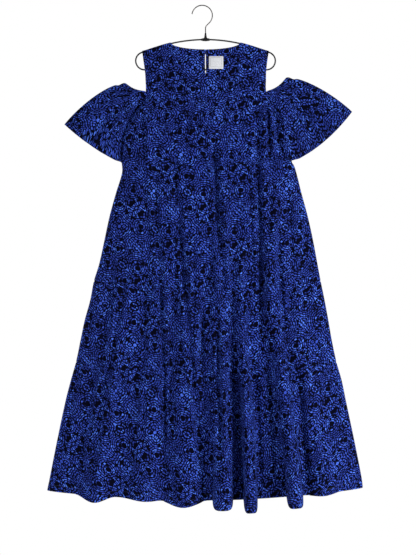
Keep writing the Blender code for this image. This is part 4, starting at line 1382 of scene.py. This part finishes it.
def ring_strokes(board, cells, looks):
    """Short strokes in wavy rings round scattered centres, each with its own strength."""
    moved = shifted(board, cells, RING_WAVER_SCALE, looks.ring_waver)
    centres = board.add("ShaderNodeTexVoronoi", voronoi_dimensions="2D")
    board.feed(centres.inputs["Vector"], moved)
    centres.inputs["Scale"].default_value = 1 / looks.ring_spacing
    centres.inputs["Randomness"].default_value = RING_RANDOMNESS
    x, y, _ = board.split(moved)
    centre_x, centre_y, _ = board.split(centres.outputs["Position"])
    from_x = board.math("SUBTRACT", x, centre_x)
    from_y = board.math("SUBTRACT", y, centre_y)
    radius = board.math("SQRT", board.math("ADD", board.math("MULTIPLY", from_x, from_x),
                                           board.math("MULTIPLY", from_y, from_y)))
    rings = board.math("DIVIDE", radius, looks.stripe_pitch)
    ring = board.math("FLOOR", rings)
    stripe = board.ramp(board.math("PINGPONG", rings, 0.5), *STRIPE_EDGE)
    angle = board.math("DIVIDE", board.math("ARCTAN2", from_y, from_x), 2 * math.pi)
    ring_length = board.math("MULTIPLY", board.math("ADD", ring, 0.5),
                             2 * math.pi * looks.stripe_pitch / looks.stroke_length)
    count = board.math("MAXIMUM", board.math("FLOOR", ring_length), 2.0)
    turn = board.math("MULTIPLY_ADD", board.math("ADD", angle, 0.5), count,
                      board.math("MULTIPLY", ring, RING_TURN))
    stroke = board.ramp(board.math("PINGPONG", turn, 0.5), *STROKE_EDGE)
    dice = board.add("ShaderNodeTexWhiteNoise", noise_dimensions="3D")
    board.feed(dice.inputs["Vector"], board.vector(board.math("FLOOR", turn), ring, centre_x))
    weakest, strongest = STROKE_STRENGTHS
    strength = board.math("MULTIPLY_ADD", dice.outputs["Value"], strongest - weakest, weakest)
    strokes = board.math("MULTIPLY", board.math("MULTIPLY", stripe, stroke), strength)
    wavy = board.noise(moved, EYE_WAVER_SCALE)[0]
    eye_edge = board.math("MULTIPLY_ADD", wavy, looks.eye_waver, board.math(
        "MULTIPLY_ADD", centres.outputs["Color"], looks.eye_radius * 2, -looks.eye_radius))
    eye = board.ramp(board.math("SUBTRACT", radius, eye_edge), 0.0, EYE_EDGE)
    return board.math("MULTIPLY", strokes, eye)


def printed_strength(board, place, looks):
    """How blue the print is at each place, from 0 to 1, with dark blots over its strokes."""
    cells = mirrored_cells(board, place, looks)
    strength = ring_strokes(board, cells, looks)
    for grain, place_of_grain in ((LARGE_BLOTS, cells), (SMALL_BLOTS, cells),
                                  (LOOSE_BLOTS, place), (INK_GRAIN, place), (INK_TIDE, place)):
        strength = board.math("MULTIPLY", strength, board.grain(place_of_grain, grain))
    return strength


def printed_cotton(name, looks, reverse=False):
    """Thin cotton with its print, paler on the wrong side."""
    board = Board(name)
    place = board.cloth_place()
    dark, deep, bright = (np.array(solid(colour)) for colour in
                          (looks.ground_colour, looks.deep_colour, looks.stroke_colour))
    if reverse:
        steps = zip((dark, dark, deep), (deep, deep, bright), REVERSE_SHARES)
        dark, deep, bright = (mix(here, there, share) for here, there, share in steps)
    strength = board.math("MULTIPLY", printed_strength(board, place, looks), 2.0)
    colour = board.blend(board.math("MINIMUM", strength, 1.0), tuple(dark), tuple(deep))
    upper = board.math("MAXIMUM", board.math("SUBTRACT", strength, 1.0), 0.0)
    colour = board.blend(upper, colour, tuple(bright))
    board.feed(board.shader.inputs["Base Color"], colour)
    board.feed(board.shader.inputs["Roughness"], board.grain(place, COTTON_GLOSS))
    board.set(Specular_IOR_Level=0.02, Sheen_Weight=0.008, Sheen_Roughness=0.5)
    board.shader.inputs["Sheen Tint"].default_value = SHEEN_TINT
    weave = weave_height(board, place, looks.thread_spacing)
    board.bump(weave, distance=0.00006, strength=0.6)
    return board.material


def woven_tape(name, looks):
    """Off-white woven tape with a thin darker line inside its edge."""
    board = Board(name)
    place = board.cloth_place()
    x, y, _ = board.split(place)
    edge_x = board.math("SUBTRACT", LABEL_WIDTH / 2, board.math("ABSOLUTE", x))
    middle_y = board.math("ADD", y, LABEL_HEIGHT / 2)
    edge_y = board.math("SUBTRACT", LABEL_HEIGHT / 2, board.math("ABSOLUTE", middle_y))
    inside = board.math("MINIMUM", edge_x, edge_y)
    line = board.math("ABSOLUTE", board.math("SUBTRACT", inside, LABEL_LINE_INSET))
    line = board.ramp(line, *LABEL_LINE_EDGE, LABEL_LINE_STRENGTH, 0.0)
    colour = board.blend(board.grain(place, LABEL_MOTTLE), solid(looks.label_colour),
                         solid(looks.label_colour, LABEL_MOTTLE_SHADE))
    colour = board.blend(line, colour, solid(looks.label_colour, LABEL_LINE_SHADE))
    board.feed(board.shader.inputs["Base Color"], colour)
    board.feed(board.shader.inputs["Roughness"], board.grain(place, LABEL_GLOSS))
    board.set(Sheen_Weight=0.15)
    weave = weave_height(board, place, LABEL_THREAD_SPACING)
    board.bump(weave, distance=0.00010, strength=0.8)
    return board.material


def two_tone(name, colour, share, tone, rough=None, **values):
    """Board whose colour turns to a share of itself by one grain, with its gloss by another."""
    board = Board(name)
    tones = board.grain(board.object_place(), tone)
    board.feed(board.shader.inputs["Base Color"],
               board.blend(tones, solid(colour), solid(colour, share)))
    if rough:
        board.feed(board.shader.inputs["Roughness"], board.grain(board.object_place(), rough))
    board.set(**values)
    return board


def sewing_thread(name, colour):
    """Twisted thread for stitches."""
    board = two_tone(name, colour, 0.6, THREAD_TONE, Roughness=0.55, Sheen_Weight=0.2)
    along = board.split(board.object_place())[0]
    twist = board.math("SINE", board.math("MULTIPLY", along, THREAD_TWIST))
    board.bump(twist, distance=0.00004, strength=0.5)
    return board.material


def wire_coating(name, colour):
    """Dark dipped coating with a soft uneven gloss."""
    board = two_tone(name, colour, 2.4, COATING_TONE, COATING_GLOSS, Specular_IOR_Level=0.25)
    grain = board.noise(board.object_place(), scale=420.0)[0]
    board.bump(grain, distance=0.00012, strength=0.5)
    return board.material


def plated_wire(name, colour):
    """Bright plated steel with fine drawing lines and a few dull patches."""
    board = two_tone(name, colour, 0.55, PLATING_TONE, PLATING_GLOSS, Metallic=1.0)
    lines = board.noise(board.object_place(), scale=1500.0, detail=1.0)[0]
    board.bump(lines, distance=0.00003, strength=0.5)
    return board.material


def studio_paper(name, colour):
    """Pale seamless paper."""
    return two_tone(name, colour, 0.985, PAPER_TONE,
                    Roughness=0.9, Specular_IOR_Level=0.1).material


# Values that a user would change

def length_value(name, description, default, low, high):
    """A length in metres."""
    return FloatProperty(name=name, description=description, default=default,
                         min=low, max=high, unit="LENGTH")


def power_value(name, description, default):
    """The power of a light in watts."""
    return FloatProperty(name=name, description=description, default=default,
                         min=0.0, max=500.0, unit="POWER")


def colour_value(name, description, default):
    """A colour."""
    return FloatVectorProperty(name=name, description=description, default=default,
                               subtype="COLOR", min=0, max=1)


class DressCloth(bpy.types.PropertyGroup):
    """Sizes of the cloth, its print and its sewing."""

    wall: length_value("Cloth thickness", "Thickness of the cloth shell", 0.0006, 0.0002, 0.0012)
    hem_depth: length_value(
        "Hem depth", "Depth of the turned hem at the bottom",
        0.020, 0.005, 0.04)
    cuff_depth: length_value(
        "Sleeve hem depth", "Depth of the turned hem of each sleeve",
        0.012, 0.004, 0.03)
    stitch_pitch: length_value(
        "Stitch pitch", "Distance from one stitch to the next",
        0.0032, 0.0015, 0.006)
    stitch_length: length_value(
        "Stitch length", "Length of the thread that shows in one stitch",
        0.0025, 0.001, 0.005)
    thread_spacing: length_value(
        "Thread spacing", "Distance between the threads of the weave",
        0.0005, 0.0002, 0.002)
    cell_size: length_value(
        "Print cell", "Size of one mirrored cell of the print",
        0.158, 0.05, 0.4)
    ring_spacing: length_value(
        "Ring spacing", "Typical distance between the print's ring centres",
        0.060, 0.01, 0.1)
    ring_waver: length_value("Ring waver", "How far the rings stray from round", 0.016, 0.0, 0.1)
    stripe_pitch: length_value(
        "Stripe pitch", "Distance from one ring of strokes to the next",
        0.0067, 0.002, 0.02)
    eye_radius: length_value(
        "Eye radius", "Radius of the largest dark eyes in the rings' middles",
        0.009, 0.0, 0.03)
    eye_waver: length_value(
        "Eye waver", "How far an eye's edge strays from round",
        0.007, 0.0, 0.03)
    stroke_length: length_value(
        "Stroke length", "Typical length of one printed stroke",
        0.0088, 0.002, 0.03)
    ground_colour: colour_value(
        "Ground colour", "Near-black ground of the print",
        (0.0010, 0.0011, 0.0060))
    deep_colour: colour_value(
        "Deep colour", "Deep blue of the faint strokes",
        (0.026, 0.052, 0.360))
    stroke_colour: colour_value(
        "Stroke colour", "Blue of the strongest strokes",
        (0.100, 0.250, 0.960))
    thread_colour: colour_value("Thread colour", "Dark blue sewing thread", (0.012, 0.018, 0.080))
    label_colour: colour_value("Label colour", "Off-white of the woven label", (0.56, 0.57, 0.60))


class DressHanger(bpy.types.PropertyGroup):
    """Colours of the hanger."""

    coating_colour: colour_value(
        "Coating colour", "Dark coating of the frame wire",
        (0.004, 0.004, 0.005))
    plating_colour: colour_value(
        "Plating colour", "Bright plating of the hook",
        (0.085, 0.078, 0.074))


class DressStudio(bpy.types.PropertyGroup):
    """Camera, floor and lights."""

    camera_distance: length_value(
        "Camera distance", "Distance from the camera to the dress",
        3.0, 1.5, 8.0)
    frame_height: length_value(
        "Frame height", "Height of the picture's frame at the dress",
        1.626, 0.5, 4.0)
    floor_height: length_value(
        "Floor height", "Height of the floor below the hook",
        -1.86, -3.0, -1.5)
    key_power: power_value("Key light", "Power of the large light at the right", 128.0)
    fill_power: power_value("Fill light", "Power of the large light at the left", 55.0)
    back_power: power_value(
        "Back light", "Power of the larger light on the dress's far side",
        100.0)
    floor_radius: length_value("Floor radius", "Radius of the round floor", 0.88, 0.3, 5.0)
    surround_strength: FloatProperty(
        name="Surround", description="Strength of the even light from all round",
        default=0.50, min=0.0, max=3.0)
    paper_colour: colour_value(
        "Paper colour", "Pale seamless paper of the floor",
        (0.93, 0.93, 0.93))


# Operators

# Square lights: place, side and the share of a looks value that gives the power
Lamp = namedtuple("Lamp", "name place size power share")
LAMPS = (
    Lamp("key_light", (2.7, -1.9, -1.15), 1.0, "key_power", 1.0),
    Lamp("fill_light", (-2.6, -2.2, -1.05), 1.6, "fill_power", 1.0),
    Lamp("back_key_light", (-2.7, 1.9, -0.6), 1.2, "back_power", 1.0),
    Lamp("back_fill_light", (2.6, 2.4, -0.6), 1.6, "back_power", 0.45),
)
LAMP_AIM = Vector((0.0, 0.0, -0.9))
PICTURE_CENTRE = Vector((0.0171, 0.0, -0.796))
SENSOR_WIDTH = 36.0
FLOOR_SIDES = 96


class DRESS_OT_studio(bpy.types.Operator):
    """Set up the camera, the round floor and the soft lights"""

    bl_idname = "dress.studio"
    bl_label = "Build Studio"

    def execute(self, context):
        looks = context.scene.dress_studio
        self.add_camera(context, looks)
        self.add_paper(context, looks)
        self.add_lights(context, looks)
        context.scene.view_settings.view_transform = "Standard"
        return {"FINISHED"}

    def add_camera(self, context, looks):
        """Camera in front of the middle of the picture, level with it."""
        data = bpy.data.cameras.new("camera")
        data.sensor_width = SENSOR_WIDTH
        data.lens = data.sensor_width * looks.camera_distance / looks.frame_height
        camera = bpy.data.objects.new("camera", data)
        camera.location = PICTURE_CENTRE + Vector((0, -looks.camera_distance, 0))
        camera.rotation_euler = (math.radians(90), 0, 0)
        context.scene.collection.objects.link(camera)
        context.scene.camera = camera

    def add_paper(self, context, looks):
        """Round pale floor, small enough to end below the edge of the level picture."""
        rim = arc_points(0.0, 0.0, looks.floor_radius, 0.0, 2 * math.pi, FLOOR_SIDES + 1)[:-1]
        points = [(x, y, looks.floor_height) for x, y in rim]
        data = bpy.data.meshes.new("paper")
        data.from_pydata(points, [], [tuple(range(FLOOR_SIDES))])
        data.materials.append(studio_paper("studio_paper", looks.paper_colour))
        paper = bpy.data.objects.new("paper", data)
        context.scene.collection.objects.link(paper)

    def add_lights(self, context, looks):
        """Large soft light at the right, weaker ones at the left and behind, white all round."""
        for lamp in LAMPS:
            data = bpy.data.lights.new(lamp.name, "AREA")
            data.shape = "SQUARE"
            data.size = lamp.size
            data.energy = lamp.share * getattr(looks, lamp.power)
            light = bpy.data.objects.new(lamp.name, data)
            light.location = lamp.place
            aim = LAMP_AIM - light.location
            light.rotation_euler = aim.to_track_quat("-Z", "Y").to_euler()
            context.scene.collection.objects.link(light)
        world = bpy.data.worlds.new("surround")
        world.use_nodes = True
        nodes, links = world.node_tree.nodes, world.node_tree.links
        surround = nodes["Background"]
        surround.inputs["Color"].default_value = (1.0, 1.0, 1.0, 1.0)
        surround.inputs["Strength"].default_value = looks.surround_strength
        white = nodes.new("ShaderNodeBackground")
        white.inputs["Color"].default_value = (1.0, 1.0, 1.0, 1.0)
        seen = nodes.new("ShaderNodeLightPath")
        mixed = nodes.new("ShaderNodeMixShader")
        links.new(seen.outputs["Is Camera Ray"], mixed.inputs[0])
        links.new(surround.outputs[0], mixed.inputs[1])
        links.new(white.outputs[0], mixed.inputs[2])
        links.new(mixed.outputs[0], nodes["World Output"].inputs["Surface"])
        context.scene.world = world


def cloth_materials(looks):
    """Printed cotton for the right side and the wrong side, made once."""
    names = ("printed_cotton", "printed_cotton_reverse")
    found = []
    for name in names:
        material = bpy.data.materials.get(name + "_look")
        found.append(material or printed_cotton(name + "_look", looks, name != names[0]))
    return found


def thread_material(looks):
    """Dark blue thread, made once."""
    found = bpy.data.materials.get("thread_look")
    return found or sewing_thread("thread_look", looks.thread_colour)


class DRESS_OT_yokes(bpy.types.Operator):
    """Build the two back yokes and the front yoke with their stitched edges"""

    bl_idname = "dress.yokes"
    bl_label = "Build Yokes"

    def execute(self, context):
        looks = context.scene.dress_cloth
        for number, piece in enumerate(YOKE_PIECES):
            surface = yoke_surface(piece, EDGE_TURN)
            cloth = cloth_shell(piece.name, surface, YOKE_PRINT_STEP * number, looks)
            self.add_edges(piece, surface, looks)
        return {"FINISHED"}

    def add_edges(self, piece, surface, looks):
        """Rows of stitches round the neck, the slit and the free armhole edges."""
        inset = EDGE_TURN - HEM_STEP
        rows = [sewn_row(surface, inset, "top", looks,
                         lambda line: np.abs(line[:, 0]) < NECK_HALF_WIDTH - NECK_STITCH_STOP)]
        for side in ("left", "right"):
            at_slit = piece.side != 0 and (side == "left") == (piece.side > 0)
            low = SLIT_BOTTOM if at_slit else ATTACH_HEIGHT
            rows.append(sewn_row(
                surface, inset, side, looks,
                lambda line: (line[:, 2] > low) & (line[:, 2] < line[:, 2].max() - inset)))
        return add_stitches(piece.name + "_stitching", rows, thread_material(looks))


class DRESS_OT_tiers(bpy.types.Operator):
    """Build the three gathered tiers, back and front, and the stitched hem"""

    bl_idname = "dress.tiers"
    bl_label = "Build Tiers"

    def execute(self, context):
        looks = context.scene.dress_cloth
        for number, tier in enumerate(TIERS):
            surface = tier_surface(tier, looks.hem_depth)
            shift = TIER_PRINT_START + TIER_PRINT_STEP * number
            cloth = cloth_shell(tier.name, surface, shift, looks)
            stitches = []
            if tier.bottom == HEM:
                row = sewn_row(surface, looks.hem_depth - HEM_STEP, "bottom", looks)
                stitches = [add_stitches(tier.name + "_stitching", [row], thread_material(looks))]
        return {"FINISHED"}


class DRESS_OT_sleeves(bpy.types.Operator):
    """Build the two bell sleeves with their stitched rims and hems"""

    bl_idname = "dress.sleeves"
    bl_label = "Build Sleeves"

    def execute(self, context):
        looks = context.scene.dress_cloth
        for number, sleeve in enumerate(SLEEVES):
            surface = sleeve_surface(sleeve, looks.cuff_depth, EDGE_TURN)
            shift = SLEEVE_PRINT_START + SLEEVE_PRINT_STEP * number
            cloth = cloth_shell(sleeve.name, surface, shift, looks, closed=True)
            turns = sleeve_turns()
            rows = [sewn_row(surface, looks.cuff_depth - HEM_STEP, "bottom", looks)]
            for free in (turns < -FREE_RIM_SHARE, turns > FREE_RIM_SHARE):
                rows.append(sewn_row(surface, EDGE_TURN - HEM_STEP, "top", looks,
                                     lambda line: free))
            stitches = add_stitches(sleeve.name + "_stitching", rows, thread_material(looks))
        return {"FINISHED"}


class DRESS_OT_label(bpy.types.Operator):
    """Build the plain woven label and the stitches round it"""

    bl_idname = "dress.label"
    bl_label = "Build Label"

    def execute(self, context):
        looks = context.scene.dress_cloth
        across = np.linspace(-1, 1, LABEL_COLUMNS)[None, :]
        down = np.linspace(-1, 1, LABEL_ROWS)[:, None]
        x = LABEL_LEFT + LABEL_WIDTH * (across + 1) / 2
        z = LABEL_TOP - LABEL_HEIGHT * (down + 1) / 2
        on_yoke = yoke_depth(x / TIP_HALF_WIDTH, x, z) + yoke_fine_depth(BACK, x, z)
        belly = LABEL_BELLY * (1 - across ** 2) * (1 - down ** 2) ** 0.5
        curl = LABEL_CURL * (np.abs(across) ** 6 + np.abs(down) ** 6)
        depth = on_yoke + LABEL_STAND + belly - curl
        points = np.stack([x + 0 * z, -depth, z + 0 * x], axis=2)
        surface = measured(points, np.array([0.0, BACK, 0.0]))
        data = shell_mesh("label", surface, LABEL_WALL)
        label = new_piece("neck_label_tape", data, [woven_tape("woven_label_look", looks)])
        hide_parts("neck_label")
        stitches = self.add_edges(surface, looks)
        return {"FINISHED"}

    def add_edges(self, surface, looks):
        """Fine stitches just inside the label's edge."""
        rows = []
        for side in ("top", "bottom", "left", "right"):
            line, up = line_at(surface, LABEL_STITCH_INSET, side)
            rows.append(stitch_row(line, up, LABEL_STITCH_PITCH, LABEL_STITCH_LENGTH))
        shade = solid(looks.label_colour, LABEL_THREAD_SHADE)[:3]
        thread = sewing_thread("label_thread_look", shade)
        return add_stitches("neck_label_stitching", rows, thread)


class DRESS_OT_hanger(bpy.types.Operator):
    """Build the coated wire frame, its collar and the bright hook"""

    bl_idname = "dress.hanger"
    bl_label = "Build Hanger"

    def execute(self, context):
        looks = context.scene.dress_hanger
        coating = wire_coating("coated_wire_look", looks.coating_colour)
        data = tube_mesh("frame", self.frame_path(), FRAME_WIRE_RADIUS, FRAME_SIDES, True)
        wire = new_piece("hanger_frame_wire", data, [coating])
        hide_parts("hanger_frame")
        collar = new_piece("hanger_collar_sleeve", self.collar_mesh(), [coating])
        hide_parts("hanger_collar")
        plating = plated_wire("bright_wire_look", looks.plating_colour)
        data = tube_mesh("hook", self.hook_path(), HOOK_WIRE_RADIUS, HOOK_SIDES, False, True)
        hook = new_piece("hanger_hook_wire", data, [plating])
        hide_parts("hanger_hook")
        return {"FINISHED"}

    def frame_path(self):
        """Closed line of the frame: two arms, two round ends and a straight lower bar."""
        half = []
        for share in np.linspace(0, 1, ARM_POINTS):
            x = ARM_RADIUS * math.sin(ARM_ANGLE) * share
            half.append((x, float(wire_height(x))))
        half += arc_points(END_LOOP_X, END_LOOP_HEIGHT, END_LOOP_RADIUS,
                           math.pi / 2 - ARM_ANGLE, -math.pi / 2, END_LOOP_POINTS)
        for share in BAR_SHARES:
            half.append((END_LOOP_X * share, END_LOOP_HEIGHT - END_LOOP_RADIUS))
        other = [(-x, z) for x, z in reversed(half[1:])]
        return half + [(0.0, END_LOOP_HEIGHT - END_LOOP_RADIUS)] + other

    def hook_path(self):
        """Line of the hook, from its tip over the crown and down the stem."""
        centre_z = HOOK_WIRE_RADIUS - HOOK_RADIUS
        path = arc_points(-STEM_X, centre_z, HOOK_RADIUS,
                          HOOK_TIP_ANGLE, HOOK_END_ANGLE, HOOK_POINTS)
        end_x, end_z = path[-1]
        turn = math.pi / 2 + HOOK_END_ANGLE
        run = (end_x - HOOK_NECK_BEND * (1 - math.cos(turn))) / math.sin(turn)
        bend_z = end_z - run * math.cos(turn) - HOOK_NECK_BEND * math.sin(turn)
        path += arc_points(HOOK_NECK_BEND, bend_z, HOOK_NECK_BEND,
                           math.pi - turn, math.pi, HOOK_BEND_POINTS)
        return path + [(0.0, CROWN_HEIGHT + height) for height in STEM_HEIGHTS]

    def collar_mesh(self):
        """Dark moulded collar, thickest in the middle, with a short neck for the stem."""
        sides = COLLAR_SIDES
        shares = np.linspace(-1, 1, COLLAR_RINGS)
        fullness = (1 - np.abs(shares) ** COLLAR_TAPER) ** COLLAR_FULLNESS
        radii = COLLAR_END_RADIUS + COLLAR_SWELL * fullness
        circle = arc_points(0.0, 0.0, 1.0, 0.0, 2 * math.pi, sides + 1)[:-1]
        points = []
        for share, radius in zip(shares, radii):
            x = share * COLLAR_LENGTH / 2
            centre_z = float(wire_height(x))
            points += [(x, radius * a, centre_z + radius * b) for a, b in circle]
        neck_start = len(points)
        for radius, height in NECK_RINGS:
            points += [(radius * a, radius * b, CROWN_HEIGHT + height) for a, b in circle]
        faces = ring_quads(len(shares), sides, flipped=True)
        faces += end_caps(len(shares), sides, flipped=True)
        faces += ring_quads(len(NECK_RINGS), sides, neck_start)
        faces += end_caps(len(NECK_RINGS), sides, neck_start)
        return wire_mesh("collar", np.array(points), faces)


class DRESS_PT_panel(bpy.types.Panel):
    """Sidebar panel with the dress's values and its build buttons"""

    bl_idname = "DRESS_PT_panel"
    bl_label = "Tiered Dress"
    bl_space_type = "VIEW_3D"
    bl_region_type = "UI"
    bl_category = "Tiered Dress"

    def draw(self, context):
        layout = self.layout
        for group in (context.scene.dress_cloth, context.scene.dress_hanger,
                      context.scene.dress_studio):
            box = layout.box()
            for name in group.__annotations__:
                box.prop(group, name)
        for operator in BUILD_ORDER:
            layout.operator(operator.bl_idname)


GROUPS = (
    ("dress_cloth", DressCloth),
    ("dress_hanger", DressHanger),
    ("dress_studio", DressStudio),
)
BUILD_ORDER = (
    DRESS_OT_studio,
    DRESS_OT_hanger,
    DRESS_OT_yokes,
    DRESS_OT_tiers,
    DRESS_OT_sleeves,
    DRESS_OT_label,
)


def register():
    """Add the property groups, operators and panel."""
    for name, group in GROUPS:
        bpy.utils.register_class(group)
        setattr(bpy.types.Scene, name, PointerProperty(type=group))
    for item in BUILD_ORDER + (DRESS_PT_panel,):
        bpy.utils.register_class(item)


def unregister():
    """Take them away again."""
    for item in reversed(BUILD_ORDER + (DRESS_PT_panel,)):
        bpy.utils.unregister_class(item)
    for name, group in reversed(GROUPS):
        delattr(bpy.types.Scene, name)
        bpy.utils.unregister_class(group)


def main():
    """Build everything in order."""
    register()
    bpy.ops.dress.studio()
    bpy.ops.dress.hanger()
    bpy.ops.dress.yokes()
    bpy.ops.dress.tiers()
    bpy.ops.dress.sleeves()
    bpy.ops.dress.label()


if __name__ == "__main__":
    main()
